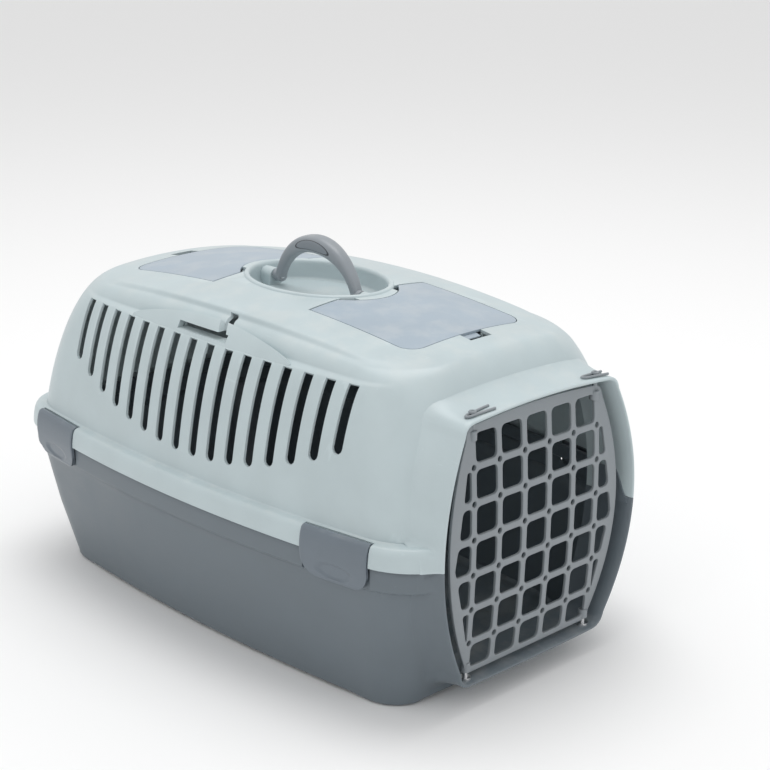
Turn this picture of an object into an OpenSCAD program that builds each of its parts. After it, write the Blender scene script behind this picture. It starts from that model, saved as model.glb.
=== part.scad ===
// Two-shell pet transport carrier: a deep tub, a vented lid shell, a barred front door,
// four side latches, two storage lids and a folding handle.
// Frame: +Z up, the door faces -Y, origin on the floor under the middle of the carrier.

/* [Tub] */
// half width of the tub at the floor (mm)
base_half_w = 154.5; // [145:1:160]
// half length of the tub at the floor (mm)
base_half_l = 259.5; // [250:1:265]
// half width of the tub wall just under its rim (mm)
tub_half_w = 183; // [178:1:186]
// half length of the tub wall just under its rim (mm)
tub_half_l = 294; // [290:1:297]
// height of the underside of the tub's rim (mm)
rim_low_z = 131; // [126:1:134]
// height of the top of the tub's rim, where the two shells part (mm)
part_z = 152; // [148:1:156]
// wall thickness of both shells (mm)
wall = 2.8; // [2.4:0.1:3.2]

/* [Lid shell] */
// half width of the skirt at its lower edge (mm)
skirt_half_w = 192.5; // [190:0.5:194]
// half length of the skirt at its lower edge (mm)
skirt_half_l = 305; // [303:0.5:306]
// half width of the wall just above the skirt (mm)
foot_half_w = 178; // [175:1:180]
// half length of the wall just above the skirt (mm)
foot_half_l = 291; // [288:1:293]
// height at which the wall starts above the skirt (mm)
foot_z = 175; // [173:1:178]
// height of the crown in the middle (mm)
crown_z = 337; // [332:1:340]
// how far the wall leans in from its foot to the edge of the crown (mm)
lean = 51; // [46:1:56]

/* [Vents] */
// number of upright slots on each side
vent_count = 16; // [10:2:16]
// distance between slots (mm)
vent_pitch = 25.9; // [24:0.1:26]
// width of one slot (mm)
vent_w = 11.5; // [9:0.5:13]
// height of the top of the slots (mm)
vent_top_z = 298.5; // [290:0.5:300]
// height of the lower end of the middle slots (mm)
vent_low_z = 192.5; // [188:0.5:210]

/* [Door] */
// half width of the door at its widest (mm)
door_half_w = 115.5; // [112:0.5:117]
// height of the door's lower edge (mm)
door_low_z = 34; // [33:0.5:38]
// height of the middle of the door's top edge (mm)
door_top_z = 277; // [270:0.5:278]
// distance between the bars (mm)
bar_pitch = 33.8; // [32:0.1:34]
// width of one bar (mm)
bar_w = 6.4; // [5:0.1:8]
// thickness of the door (mm)
door_t = 3.2; // [2.6:0.1:4]
// distance of the door's pivots from the middle (mm)
pivot_x = 83.5; // [81:0.5:85]

/* [Latches] */
// distance of a latch's middle from the middle of the carrier (mm)
latch_y = 213.5; // [205:0.5:216]
// width of a latch (mm)
latch_w = 77; // [70:1:79]

/* [Handle] */
// distance of the handle's legs from the middle (mm)
leg_y = 58; // [54:1:60]
// height of the handle's pivots (mm)
handle_z = 327; // [325:0.5:328]
// height of the handle's top when it stands up (mm)
handle_top_z = 377; // [370:1:380]

/* [Hidden] */
// node to build
shell_light = [0.74, 0.79, 0.79];
shell_dark = [0.42, 0.46, 0.49];
lid_blue = [0.66, 0.71, 0.77];
grey = [0.55, 0.58, 0.6];
latch_grey = [0.46, 0.51, 0.55];
steel = [0.7, 0.71, 0.72];
long_steps = 16;
corner_steps = 5;
short_steps = 4;
ring_n = 2 * long_steps + 4 * corner_steps + 2 * short_steps;
side_bow = 0.00028;
end_bow = 0.00009;
sweep = 0.00043;
shrink = 0.965;
door_face_y = -296.4;
collar_front_y = -305;
collar_back_y = -252;
collar_mid_z = 158;
collar_low_z = 24;
collar_top_z = 285;
gap = 0.4;
up_z = part_z + gap;
latch_angle = atan(2 * side_bow * latch_y * skirt_half_w / 180);
latch_x = skirt_half_w - side_bow * latch_y * latch_y * skirt_half_w / 180;
pin_in = -7;
pin_z = 170.4;
pin_r = 1.6;
fit = 0.05;
lid_half_w = 76;
lid_in_y = 71.2;
hinge_gap = 0.8;
lid_out_y = 206;
lid_axis_y = 80;
pan_depth = 34;
cup_a = 59.5;
cup_b = 82;
cup_wall = 2.4;
cup_floor_z = 314;
recess_gap = 0.8;
pivot_y = -288.5;
pivot_r = 2.4;
handle_r = 60.2;
handle_mid_z = 310.8;
handle_pin_r = 3;
lid_pin_r = 1.2;
lid_axis_z = crown_z - 9.1;

// rounded rectangle of half sizes a and b with corner radius r, counter-clockwise from above
function round_rect(a, b, r) = concat(
    [for (i = [0:long_steps - 1]) [a, (b - r) * (2 * i / long_steps - 1)]],
    [for (i = [0:corner_steps - 1]) let (t = 90 * i / corner_steps)
        [a - r + r * cos(t), b - r + r * sin(t)]],
    [for (i = [0:short_steps - 1]) [(a - r) * (1 - 2 * i / short_steps), b]],
    [for (i = [0:corner_steps - 1]) let (t = 90 + 90 * i / corner_steps)
        [r - a + r * cos(t), b - r + r * sin(t)]],
    [for (i = [0:long_steps - 1]) [-a, (b - r) * (1 - 2 * i / long_steps)]],
    [for (i = [0:corner_steps - 1]) let (t = 180 + 90 * i / corner_steps)
        [r - a + r * cos(t), r - b + r * sin(t)]],
    [for (i = [0:short_steps - 1]) [(a - r) * (2 * i / short_steps - 1), -b]],
    [for (i = [0:corner_steps - 1]) let (t = 270 + 90 * i / corner_steps)
        [a - r + r * cos(t), r - b + r * sin(t)]]);

// the plan's gentle bow: sides and ends swell towards their middles
function bowed(p) = [p[0] * (1 - side_bow * p[1] * p[1] / 180), p[1] * (1 - end_bow * p[0] * p[0] / 300)];

// one ring at a constant height
function ring(a, b, r, z) = [for (p = round_rect(a, b, r)) let (q = bowed(p)) [q[0], q[1], z]];

// height of the crown over a point of the plan
function crown(x, y, drop) = crown_z - drop - 0.0008 * x * x - 0.00033 * y * y;

// how far the wall has leaned in at the fraction h of its height
function leaned(h) = lean * (0.35 * h + 0.65 * (1 - sqrt(max(0, 1 - pow(h, 2.5)))));

// depth of the long scoop over the vents, less the raised pad in its middle
function relief(y, h) = let (u = (h - 0.83) / 0.17, v = abs(y) / 222) (u <= 0 || v >= 1) ? 0 :
    6.5 * (1 - v * v) * sin(180 * min(1, u * 0.82)) * (pad_edge(y, u) > 0 ? 0.25 : 1);
function pad_edge(y, u) = 0.86 - u - 0.86 * pow(y / 118, 2);

// one ring of the lid shell's wall at the fraction h of its height, set in by t
function wall_ring(h, t) = [
    for (p = round_rect(foot_half_w - leaned(h) - t, foot_half_l - leaned(h) - t, 50 + 12 * h - t))
        let (q = bowed(p), d = abs(q[0]) > 90 ? relief(q[1], h) * sign(q[0]) : 0)
            [q[0] - d, q[1], foot_z + h * (crown(q[0], q[1], t) - foot_z)]];

// one ring of the crown, the wall's last ring shrunk by s
function crown_ring(s, t) = [
    for (p = round_rect(foot_half_w - lean - t, foot_half_l - lean - t, 62 - t))
        let (q = bowed(p) * s) [q[0], q[1], crown(q[0], q[1], t)]];

// faces of stacked rings of n points, first and last closed flat
function stack_faces(n, m) = concat(
    [[for (j = [0:n - 1]) j]],
    [for (i = [0:m - 2]) for (j = [0:n - 1]) [i * n + j, (i + 1) * n + (j + 1) % n, i * n + (j + 1) % n]],
    [for (i = [0:m - 2]) for (j = [0:n - 1]) [i * n + j, (i + 1) * n + j, (i + 1) * n + (j + 1) % n]],
    [[for (j = [0:n - 1]) m * n - 1 - j]]);

// faces of stacked rings between a first and a last point
function pole_faces(n, m) = concat(
    [for (j = [0:n - 1]) [0, 1 + j, 1 + (j + 1) % n]],
    [for (i = [0:m - 2]) for (j = [0:n - 1])
         [1 + i * n + j, 1 + (i + 1) * n + (j + 1) % n, 1 + i * n + (j + 1) % n]],
    [for (i = [0:m - 2]) for (j = [0:n - 1])
         [1 + i * n + j, 1 + (i + 1) * n + j, 1 + (i + 1) * n + (j + 1) % n]],
    [for (j = [0:n - 1]) [1 + (m - 1) * n + j, 1 + m * n, 1 + (m - 1) * n + (j + 1) % n]]);

// half width of the collar at height z
function collar_w(z, t) = 133 - 0.00222 * pow(z - collar_mid_z, 2) - t;

// upper half of the collar's outline, set in by t, from the left joint over the top to the right
function collar_up(t) = let (z1 = collar_top_z - 16, w1 = collar_w(z1, t), r = 14) concat(
    [for (i = [0:4]) let (z = up_z + (z1 - up_z) * i / 4) [-collar_w(z, t), z]],
    [for (i = [1:3]) let (a = 30 * i) [-w1 + r - r * cos(a), z1 + (12 - t) * sin(a)]],
    [for (i = [1:5]) let (x = (w1 - r) * (i / 3 - 1)) [x, z1 + 12 - t + 4 * (1 - pow(x / (w1 - r), 2))]],
    [for (i = [0:2]) let (a = 90 - 30 * i) [w1 - r + r * cos(a), z1 + (12 - t) * sin(a)]],
    [for (i = [0:4]) let (z = z1 + (up_z - z1) * i / 4) [collar_w(z, t), z]]);

// lower half of the collar's outline, set in by t, from the right joint under the floor to the left
function collar_down(t) = let (z1 = collar_low_z + 16, w1 = collar_w(z1, t), r = 14) concat(
    [for (i = [0:4]) let (z = part_z + (z1 - part_z) * i / 4) [collar_w(z, t), z]],
    [for (i = [1:3]) let (a = 30 * i) [w1 - r + r * cos(a), z1 - (15 - t) * sin(a)]],
    [for (i = [1:5]) let (x = (w1 - r) * (1 - i / 3)) [x, z1 - 15 + t - 1 * (1 - pow(x / (w1 - r), 2))]],
    [for (i = [0:2]) let (a = 90 - 30 * i) [-w1 + r - r * cos(a), z1 - (15 - t) * sin(a)]],
    [for (i = [0:4]) let (z = z1 + (part_z - z1) * i / 4) [-collar_w(z, t), z]]);

// front edge of the collar: furthest forward at mid height
function collar_front(z) = collar_front_y + 0.00035 * pow(z - collar_mid_z, 2);

// closed strip between an outer and an inner outline, from the front edge to the back
module collar_half(outer, inner) {
    n = len(outer);
    m = 4 * n;
    function back(p) = [p[0] * shrink, collar_back_y, collar_mid_z + (p[1] - collar_mid_z) * shrink];
    pts = concat(
        [for (p = outer) [p[0], collar_front(p[1]), p[1]]],
        [for (p = outer) back(p)],
        [for (p = inner) back(p)],
        [for (p = inner) [p[0], collar_front(p[1]), p[1]]]);
    sides = [for (k = [0:3]) for (i = [0:n - 2]) each
        let (a = k * n + i, b = a + 1, c = (a + n + 1) % m, d = (a + n) % m) [[a, c, b], [a, d, c]]];
    ends = [[0, 2 * n, n], [0, 3 * n, 2 * n], [n - 1, 2 * n - 1, 3 * n - 1], [n - 1, 3 * n - 1, 4 * n - 1]];
    polyhedron(points = pts, faces = concat(sides, ends), convexity = 6);
}

// the space a collar takes out of its shell, filled in
module collar_plug(outer) {
    n = len(outer);
    function back(p) = [p[0] * shrink, collar_back_y, collar_mid_z + (p[1] - collar_mid_z) * shrink];
    sides = [for (i = [0:n - 2]) each [[i, i + 1 + n, i + 1], [i, i + n, i + 1 + n]]];
    caps = [for (i = [0:n / 2 - 2]) each
        let (j = n - 1 - i) [[i, i + 1, j - 1, j], [i + n, j + n, j - 1 + n, i + 1 + n]]];
    middle = n % 2 == 0 ? [] : let (i = (n - 1) / 2) [[i - 1, i, i + 1], [i - 1 + n, i + 1 + n, i + n]];
    polyhedron(
        points = concat([for (p = outer) [p[0], collar_front(p[1]), p[1]]], [for (p = outer) back(p)]),
        faces = concat(sides, caps, middle, [[0, n - 1, 2 * n - 1, n]]), convexity = 4);
    translate([0, -260, 0])
        rotate([90, 0, 0])
            linear_extrude(height = 60)
                offset_outline(outer);
}

// the outline a little inside a collar's own
module offset_outline(outer) {
    polygon([for (p = outer) [p[0] * 0.99, part_z + (p[1] - part_z) * 0.99]]);
}

// places its children at one of the four latches: sx and sy are -1 or 1
module at_latch(sx, sy) {
    mirror([sx < 0 ? 1 : 0, 0, 0])
        mirror([0, sy < 0 ? 1 : 0, 0])
            translate([latch_x, latch_y, 0])
                rotate([0, 0, latch_angle])
                    children();
}

// round bar along X or Y or Z
module bar(r, l) {
    cylinder(r = r, h = l, center = true, $fn = 48);
}

module tub_body() {
    rings = [
        ring(base_half_w - 7, base_half_l - 7, 28, 0),
        ring(base_half_w - 2, base_half_l - 2, 32, 1.5),
        ring(base_half_w, base_half_l, 34, 6),
        ring(base_half_w + 15.5, base_half_l + 18.5, 42, rim_low_z / 2),
        ring(tub_half_w, tub_half_l, 50, rim_low_z - 2),
        ring(skirt_half_w - 4, skirt_half_l - 4, 52, rim_low_z),
        ring(skirt_half_w - 3, skirt_half_l - 3, 53, part_z),
        ring(skirt_half_w - 9, skirt_half_l - 9, 50, part_z),
        ring(skirt_half_w - 11.5, skirt_half_l - 11.5, 50, part_z + 14),
        ring(skirt_half_w - 14, skirt_half_l - 14, 48, part_z + 14),
        ring(skirt_half_w - 13.5, skirt_half_l - 14, 48, rim_low_z),
        ring(base_half_w + 15.5 - wall, base_half_l + 18.5 - wall, 40, rim_low_z / 2),
        ring(base_half_w - wall, base_half_l - wall, 31, 7),
        ring(base_half_w - 7 - wall, base_half_l - 7 - wall, 26, wall + 0.4)];
    polyhedron(points = [for (r = rings) each r], faces = stack_faces(ring_n, len(rings)), convexity = 8);
}

// deep lower shell with its rim
module bottom_shell() {
    color(shell_dark)
        difference() {
            tub_body();
            collar_plug(collar_down(0));
            translate([-134.5, -320, part_z - 0.2])
                cube([269, 70, 20]);
            for (sx = [-1, 1]) {
                for (sy = [-1, 1]) {
                    at_latch(sx, sy)
                        translate([-6.6, -latch_w / 2 - gap, rim_low_z - 8])
                            cube([20, latch_w + 2 * gap, 40]);
                }
            }
        }
}

// lower half of the door's collar, with the seats of the two lower pivots
module bottom_collar() {
    color(shell_dark)
        difference() {
            collar_half(collar_down(0), collar_down(wall));
            for (s = [-1, 1]) {
                translate([s * pivot_x, pivot_y, collar_low_z - 2])
                    cylinder(r = pivot_r, h = 8, $fn = 48);
            }
        }
}

module lid_shell_body() {
    hs = [0, 0.2, 0.4, 0.56, 0.7, 0.8, 0.88, 0.94, 0.98];
    inner = concat(
        [[0, 0, crown(0, 0, wall)]],
        crown_ring(0.3, wall), crown_ring(0.65, wall), crown_ring(1, wall),
        [for (i = [0:8]) each wall_ring(hs[8 - i], wall)],
        ring(skirt_half_w - 6.2, skirt_half_l - 6.2, 52, foot_z - 4),
        ring(skirt_half_w - 2.6, skirt_half_l - 2.6, 53, part_z + gap));
    outer = concat(
        ring(skirt_half_w, skirt_half_l, 54, part_z + gap),
        ring(skirt_half_w - 1.2, skirt_half_l - 1.2, 54, part_z + 12),
        ring(skirt_half_w - 3.5, skirt_half_l - 3.5, 53, foot_z - 3.5),
        ring(skirt_half_w - 6.5, skirt_half_l - 6.5, 53, foot_z - 1),
        [for (h = hs) each wall_ring(h, 0)],
        crown_ring(1, 0), crown_ring(0.65, 0), crown_ring(0.3, 0),
        [[0, 0, crown(0, 0, 0)]]);
    polyhedron(points = concat(inner, outer), faces = pole_faces(ring_n, 30), convexity = 10);
}

// one side's slots seen from the side: flat tops, round lower ends
module vents() {
    for (i = [0:vent_count - 1]) {
        y = (i - (vent_count - 1) / 2) * vent_pitch;
        low = vent_low_z + 0.00122 * y * y;
        translate([y - vent_w / 2, low + vent_w / 2])
            square([vent_w, vent_top_z - low - vent_w / 2]);
        translate([y, low + vent_w / 2])
            circle(d = vent_w, $fn = 32);
    }
}

// the strap slot above the vents
module strap_slot() {
    translate([-40, 302])
        square([80, 8]);
    polygon([[-46, 302], [-34, 302], [-10, 321], [-20, 321]]);
}

// outline of a storage lid at the rear, grown by t, its hinge edge by t and u
module lid_outline(t, u) {
    difference() {
        polygon(concat(
            [[lid_half_w + t, lid_in_y - t - u], [-lid_half_w - t, lid_in_y - t - u]],
            [for (i = [0:6]) let (a = 180 - 15 * i)
                [-lid_half_w + 18 + (18 + t) * cos(a), lid_out_y - 18 + (18 + t) * sin(a)]],
            [for (i = [0:6]) let (a = 90 - 15 * i)
                [lid_half_w - 18 + (18 + t) * cos(a), lid_out_y - 18 + (18 + t) * sin(a)]]));
        polygon([for (i = [0:23]) let (a = 15 * i) [(60 - t) * cos(a), (97 - t) * sin(a)]]);
    }
}

// slab that follows the crown between drops d1 and d2 below it, over a storage lid
module crown_slab(d1, d2) {
    n = 9;
    m = 11;
    function at(i, j, d) =
        let (x = -88 + 176 * i / (n - 1), y = 60 + 160 * j / (m - 1)) [x, y, crown(x, y, d)];
    pts = concat(
        [for (j = [0:m - 1]) for (i = [0:n - 1]) at(i, j, d1)],
        [for (j = [0:m - 1]) for (i = [0:n - 1]) at(i, j, d2)]);
    k = n * m;
    edge = concat([for (i = [0:n - 2]) i], [for (j = [0:m - 2]) j * n + n - 1],
        [for (i = [0:n - 2]) k - 1 - i], [for (j = [0:m - 2]) (m - 1 - j) * n]);
    e = len(edge);
    polyhedron(points = pts, faces = concat(
        [for (j = [0:m - 2]) for (i = [0:n - 2]) each
            let (a = j * n + i) [[a, a + n, a + n + 1], [a, a + n + 1, a + 1]]],
        [for (j = [0:m - 2]) for (i = [0:n - 2]) each
            let (a = k + j * n + i) [[a, a + n + 1, a + n], [a, a + 1, a + n + 1]]],
        [for (i = [0:e - 1]) each let (a = edge[i], b = edge[(i + 1) % e])
            [[a, b, b + k], [a, b + k, a + k]]]),
        convexity = 4);
}

// storage pan that hangs under one lid, with a rest for the lid's rim
module pan() {
    low = crown(0, lid_out_y, 0) - pan_depth;
    difference() {
        intersection() {
            translate([0, 0, low])
                linear_extrude(height = pan_depth + 30)
                    lid_outline(3.4, hinge_gap);
            crown_slab(wall - 1, 80);
        }
        translate([0, 0, low + 2.4])
            linear_extrude(height = pan_depth + 30)
                lid_outline(recess_gap, hinge_gap);
    }
}

// oval of the handle's cup, grown by t
module cup_outline(t) {
    polygon([for (i = [0:35]) [(cup_a + t) * cos(10 * i), (cup_b + t) * sin(10 * i)]]);
}

// oval cup in which the handle lies, with a boss at each end for its pivot
module cup() {
    difference() {
        translate([0, 0, cup_floor_z - cup_wall])
            linear_extrude(height = crown_z - cup_floor_z - 4)
                cup_outline(cup_wall);
        translate([0, 0, cup_floor_z])
            linear_extrude(height = 60)
                cup_outline(0);
    }
    for (s = [0, 1]) {
        mirror([0, s, 0])
            difference() {
                intersection() {
                    translate([-8, 64, cup_floor_z - 1])
                        cube([16, 22, handle_z + 6 - cup_floor_z]);
                    translate([0, 0, cup_floor_z - 1])
                        linear_extrude(height = 60)
                            cup_outline(1);
                }
                translate([0, 70, handle_z])
                    rotate([90, 0, 0])
                        bar(handle_pin_r + fit, 24);
            }
    }
}

// a pair of lugs that carries one latch's pin inside the skirt
module latch_lugs() {
    for (s = [-1, 1]) {
        translate([-10.6, s * (latch_w / 2 + gap + 3.5) - 3.5, 166.8])
            cube([7, 7, 6.8]);
    }
}

// vented upper shell with its skirt
module top_shell() {
    color(shell_light)
        difference() {
            union() {
                difference() {
                    lid_shell_body();
                    collar_plug(collar_up(0));
                    rotate([90, 0, 90])
                        linear_extrude(height = 500, center = true) {
                            vents();
                            strap_slot();
                        }
                    translate([0, 0, 290])
                        linear_extrude(height = 80)
                            cup_outline(0);
                    for (s = [0, 1]) {
                        mirror([0, s, 0]) {
                            translate([0, 0, 295])
                                linear_extrude(height = 60)
                                    lid_outline(recess_gap, hinge_gap);
                            lid_room();
                            bridge_room();
                        }
                    }
                }
                for (sx = [-1, 1]) {
                    for (sy = [-1, 1]) {
                        at_latch(sx, sy)
                            latch_lugs();
                    }
                }
            }
            for (sx = [-1, 1]) {
                for (sy = [-1, 1]) {
                    at_latch(sx, sy) {
                        translate([-10.9, -latch_w / 2 - gap, rim_low_z - 8])
                            cube([30, latch_w + 2 * gap, 60]);
                        translate([pin_in, 0, pin_z])
                            rotate([90, 0, 0])
                                bar(pin_r + fit, latch_w + 16);
                    }
                }
            }
        }
}

// upper half of the door's collar, with the seats of the two levers
module top_collar() {
    color(shell_light)
        difference() {
            collar_half(collar_up(0), collar_up(wall));
            for (s = [-1, 1]) {
                translate([s * 78 - 23.5, pivot_y - 6.5, collar_top_z - 12])
                    cube([47, 13, 30]);
            }
        }
}

// the handle's cup, under the crown
module handle_cup() {
    color(shell_light) {
        difference() {
            cup();
            lid_shell_body();
        }
        difference() {
            intersection() {
                lid_shell_body();
                for (s = [0, 1]) {
                    mirror([0, s, 0])
                        bridge_room();
                }
            }
            translate([0, 0, 290])
                linear_extrude(height = 80)
                    cup_outline(0);
            for (s = [0, 1]) {
                mirror([0, s, 0])
                    translate([0, 0, 295])
                        linear_extrude(height = 60)
                            lid_outline(recess_gap, hinge_gap);
            }
        }
    }
}

// the crown between the cup and a lid, cut off from the rest by the lid's corners
module bridge_room() {
    translate([-28.1, 68, 320])
        cube([56.2, 30, 30]);
}

// what a rear lid needs besides its own outline: a finger notch, the seats of its pins
// and room for the inner corners, which dip as it opens
module lid_room() {
    translate([-14, lid_out_y - 4, 290])
        cube([28, 19, 60]);
    translate([0, lid_axis_y, lid_axis_z])
        rotate([0, 90, 0])
            bar(lid_pin_r + fit, 2 * lid_half_w + 5);
    for (s = [-1, 1]) {
        translate([s * 35.5 - 8, 70.2, 317])
            cube([16, 16, 14.2]);
        translate([s * 35.5 - 7.4, 71.4, 317])
            cube([14.8, 15, 40]);
    }
}

// storage pan under the crown: side is 0 at the rear and 1 at the front
module storage_pan(side) {
    color(shell_light)
        difference() {
            mirror([0, side, 0])
                difference() {
                    pan();
                    lid_room();
                }
            lid_shell_body();
            translate([0, 0, cup_floor_z - cup_wall])
                linear_extrude(height = 60)
                    cup_outline(cup_wall);
        }
}

module front_pan() {
    storage_pan(1);
}

module rear_pan() {
    storage_pan(0);
}

// barrel outline of the door, set in by t, counter-clockwise seen from the front
function door_w(z, t) = door_half_w - 0.0021 * pow(z - collar_mid_z, 2) - t;
function door_outline(t) =
    let (z0 = door_low_z + 10, z1 = door_top_z - 16, w0 = door_w(z0, t), w1 = door_w(z1, t), r = 10)
    concat(
    [for (i = [0:8]) let (z = z0 + (z1 - z0) * i / 8) [door_w(z, t), z]],
    [for (i = [1:3]) let (a = 30 * i) [w1 - r + r * cos(a), z1 + (12 - t) * sin(a)]],
    [for (i = [1:5]) let (x = (w1 - r) * (1 - i / 3)) [x, z1 + 12 - t + 4 * (1 - pow(x / (w1 - r), 2))]],
    [for (i = [0:3]) let (a = 90 - 30 * i) [-w1 + r - r * cos(a), z1 + (12 - t) * sin(a)]],
    [for (i = [1:8]) let (z = z1 + (z0 - z1) * i / 8) [-door_w(z, t), z]],
    [for (i = [1:3]) let (a = 30 * i) [-w0 + r - r * cos(a), z0 - (10 - t) * sin(a)]],
    [for (i = [0:2]) let (a = 90 - 30 * i) [w0 - r + r * cos(a), z0 - (10 - t) * sin(a)]]);

// one rounded opening between the bars
module cell(w, h) {
    r = 5;
    polygon([for (q = [0:3]) for (i = [0:3]) let (a = 90 * q + 30 * i)
        [(q == 0 || q == 3 ? w / 2 - r : r - w / 2) + r * cos(a), (q < 2 ? h / 2 - r : r - h / 2) + r * sin(a)]]);
}

// the grid of openings inside the door's frame
module cells() {
    intersection() {
        polygon(door_outline(8));
        for (i = [-3:3]) {
            for (j = [-3:3]) {
                translate([i * bar_pitch, (door_low_z + door_top_z) / 2 - 5.2 + j * bar_pitch])
                    cell(bar_pitch - bar_w, bar_pitch - bar_w);
            }
        }
    }
}

// curved front door: frame, bars, a small hole at every crossing and four pivot eyes
module door() {
    mid_z = (door_low_z + door_top_z) / 2 - 5.2;
    radius = 1 / (2 * sweep);
    color(grey)
        difference() {
            union() {
                intersection() {
                    translate([0, -260, 0])
                        rotate([90, 0, 0])
                            linear_extrude(height = 60)
                                difference() {
                                    polygon(door_outline(0));
                                    cells();
                                    for (i = [-2.5:2.5]) {
                                        for (j = [-2.5:2.5]) {
                                            translate([i * bar_pitch, mid_z + j * bar_pitch])
                                                circle(r = 2, $fn = 24);
                                        }
                                    }
                                }
                    translate([0, door_face_y + radius, collar_mid_z - 8])
                        rotate([0, 90, 0])
                            difference() {
                                cylinder(r = radius, h = 260, center = true, $fn = 720);
                                cylinder(r = radius - door_t, h = 270, center = true, $fn = 720);
                            }
                }
                for (s = [-1, 1]) {
                    for (z = [door_low_z + 2, door_top_z - 18]) {
                        translate([s * pivot_x, pivot_y, z])
                            cylinder(r = 4.6, h = 9, $fn = 48);
                    }
                }
            }
            for (s = [-1, 1]) {
                translate([s * pivot_x, pivot_y, 0])
                    cylinder(r = pivot_r + fit, h = 320, $fn = 48);
            }
            translate([-pivot_x - pivot_r - 0.3, pivot_y, 0])
                cube([2 * pivot_r + 0.6, 20, 320]);
        }
}

// the two lower pivots, standing on the collar's floor
module door_pins() {
    color(steel)
        for (s = [-1, 1]) {
            translate([s * pivot_x, pivot_y, collar_low_z]) {
                cylinder(r = pivot_r, h = door_low_z + 10 - collar_low_z, $fn = 48);
                translate([0, 0, 3.4])
                    cylinder(r = 5.5, h = 3.4, $fn = 48);
            }
        }
}

// sprung tongue on the collar that carries one upper pivot of the door: s is its side
module door_lever(s) {
    color(grey)
        union() {
            difference() {
                translate([s * 78, pivot_y, collar_top_z - 7.5])
                    hull() {
                        for (e = [-1, 1]) {
                            translate([e * 16.5, 0, 0])
                                cylinder(r = 5.8, h = 6.5, $fn = 32);
                        }
                    }
                translate([s * 74, pivot_y, collar_top_z - 4])
                    hull() {
                        for (e = [-1, 1]) {
                            translate([e * 11, 0, 0])
                                cylinder(r = 3, h = 10, $fn = 32);
                        }
                    }
            }
            translate([s * pivot_x, pivot_y, door_top_z - 16])
                cylinder(r = pivot_r, h = collar_top_z - door_top_z + 10, $fn = 48);
        }
}

module door_lever_left() {
    door_lever(-1);
}

module door_lever_right() {
    door_lever(1);
}

// one side latch in its own place: a bulged plate with a hook below, a pin eye above and a thumb rest
module latch(sx, sy) {
    color(latch_grey)
        at_latch(sx, sy)
            difference() {
                union() {
                    intersection() {
                        rotate([90, 0, 0])
                            linear_extrude(height = latch_w, center = true)
                                polygon([
                                    [-4.6, 173.4], [-2.4, 171.6], [-0.6, 167], [0.6, 160], [0.9, 152], [-0.4, 142],
                                    [-2, 134], [-3.2, 128.4], [-5, 126.8], [-6.1, 127.4],
                                    [-6.1, 133], [-3.4, 143], [-2.4, 152], [-2.6, 160], [-5, 167], [-8, 169]]);
                        translate([-20, 0, 0])
                            rotate([90, 0, 90])
                                linear_extrude(height = 40)
                                    latch_outline();
                    }
                    translate([pin_in, 0, pin_z])
                        rotate([90, 0, 0])
                            bar(3.3, latch_w);
                }
                translate([pin_in, 0, pin_z])
                    rotate([90, 0, 0])
                        bar(pin_r + fit, latch_w + 10);
                translate([-1.9, 0, 138])
                    rotate([0, 7, 0])
                        rotate([90, 0, 90])
                            linear_extrude(height = 10)
                                polygon([for (i = [0:35]) [23 * cos(10 * i), 8.5 * sin(10 * i)]]);
            }
}

// the latch seen from outside: square above, broad round corners below
module latch_outline() {
    h = latch_w / 2;
    r = 20;
    polygon(concat(
        [[h, 180], [-h, 180]],
        [for (i = [0:6]) let (a = 180 + 15 * i) [-h + r + r * cos(a), 126 + r + r * sin(a)]],
        [for (i = [0:6]) let (a = 270 + 15 * i) [h - r + r * cos(a), 126 + r + r * sin(a)]]));
}

module latch_front_left() {
    latch(-1, -1);
}

module latch_rear_left() {
    latch(-1, 1);
}

module latch_front_right() {
    latch(1, -1);
}

module latch_rear_right() {
    latch(1, 1);
}

// the four straight pins that the latches swing on
module latch_pins() {
    color(steel)
        for (sx = [-1, 1]) {
            for (sy = [-1, 1]) {
                at_latch(sx, sy)
                    translate([pin_in, 0, pin_z])
                        rotate([90, 0, 0])
                            bar(pin_r, latch_w + 14);
            }
        }
}

// storage lid at the rear: crowned plate, two hinge ears and a snap tab
module storage_lid() {
    difference() {
        union() {
            intersection() {
                linear_extrude(height = 400)
                    lid_outline(0, 0);
                crown_slab(0, 2.6);
            }
            for (s = [-1, 1]) {
                translate([s * 68 - 6, lid_axis_y - 3.5, lid_axis_z - 3.5])
                    cube([12, 7, crown_z - lid_axis_z - 3]);
            }
            translate([-7, lid_out_y - 10, crown(0, lid_out_y, 0) - 4.4])
                cube([14, 16, 2.2]);
        }
        translate([0, lid_axis_y, lid_axis_z])
            rotate([0, 90, 0])
                bar(lid_pin_r + fit, 200);
        for (s = [-1, 1]) {
            translate([s * 59, lid_in_y, crown(59, lid_in_y, 2.4)])
                rotate([0, s * 5.4, 0])
                    rotate([45, 0, 0])
                        translate([-25, 0, 0])
                            cube([50, 8, 8]);
        }
        intersection() {
            crown_slab(1.1, 3);
            linear_extrude(height = 400)
                polygon([for (i = [0:23]) let (a = 15 * i) [62.8 * cos(a), 99.8 * sin(a)]]);
        }
    }
}

module front_lid() {
    color(lid_blue)
        mirror([0, 1, 0])
            storage_lid();
}

module rear_lid() {
    color(lid_blue)
        storage_lid();
}

// the four short pins that the lids swing on
module lid_pins() {
    color(steel)
        for (sx = [-1, 1]) {
            for (sy = [-1, 1]) {
                translate([sx * 69, sy * lid_axis_y, lid_axis_z])
                    rotate([0, 90, 0])
                        bar(lid_pin_r, 19);
            }
        }
}

// half sizes of the handle's section at the angle a from its top: across and along the radius
function grip_half(a) = [6 + 3.6 * pow(cos(a * 1.2), 2), 4.6 + 4.4 * pow(cos(a * 1.2), 2)];

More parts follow.
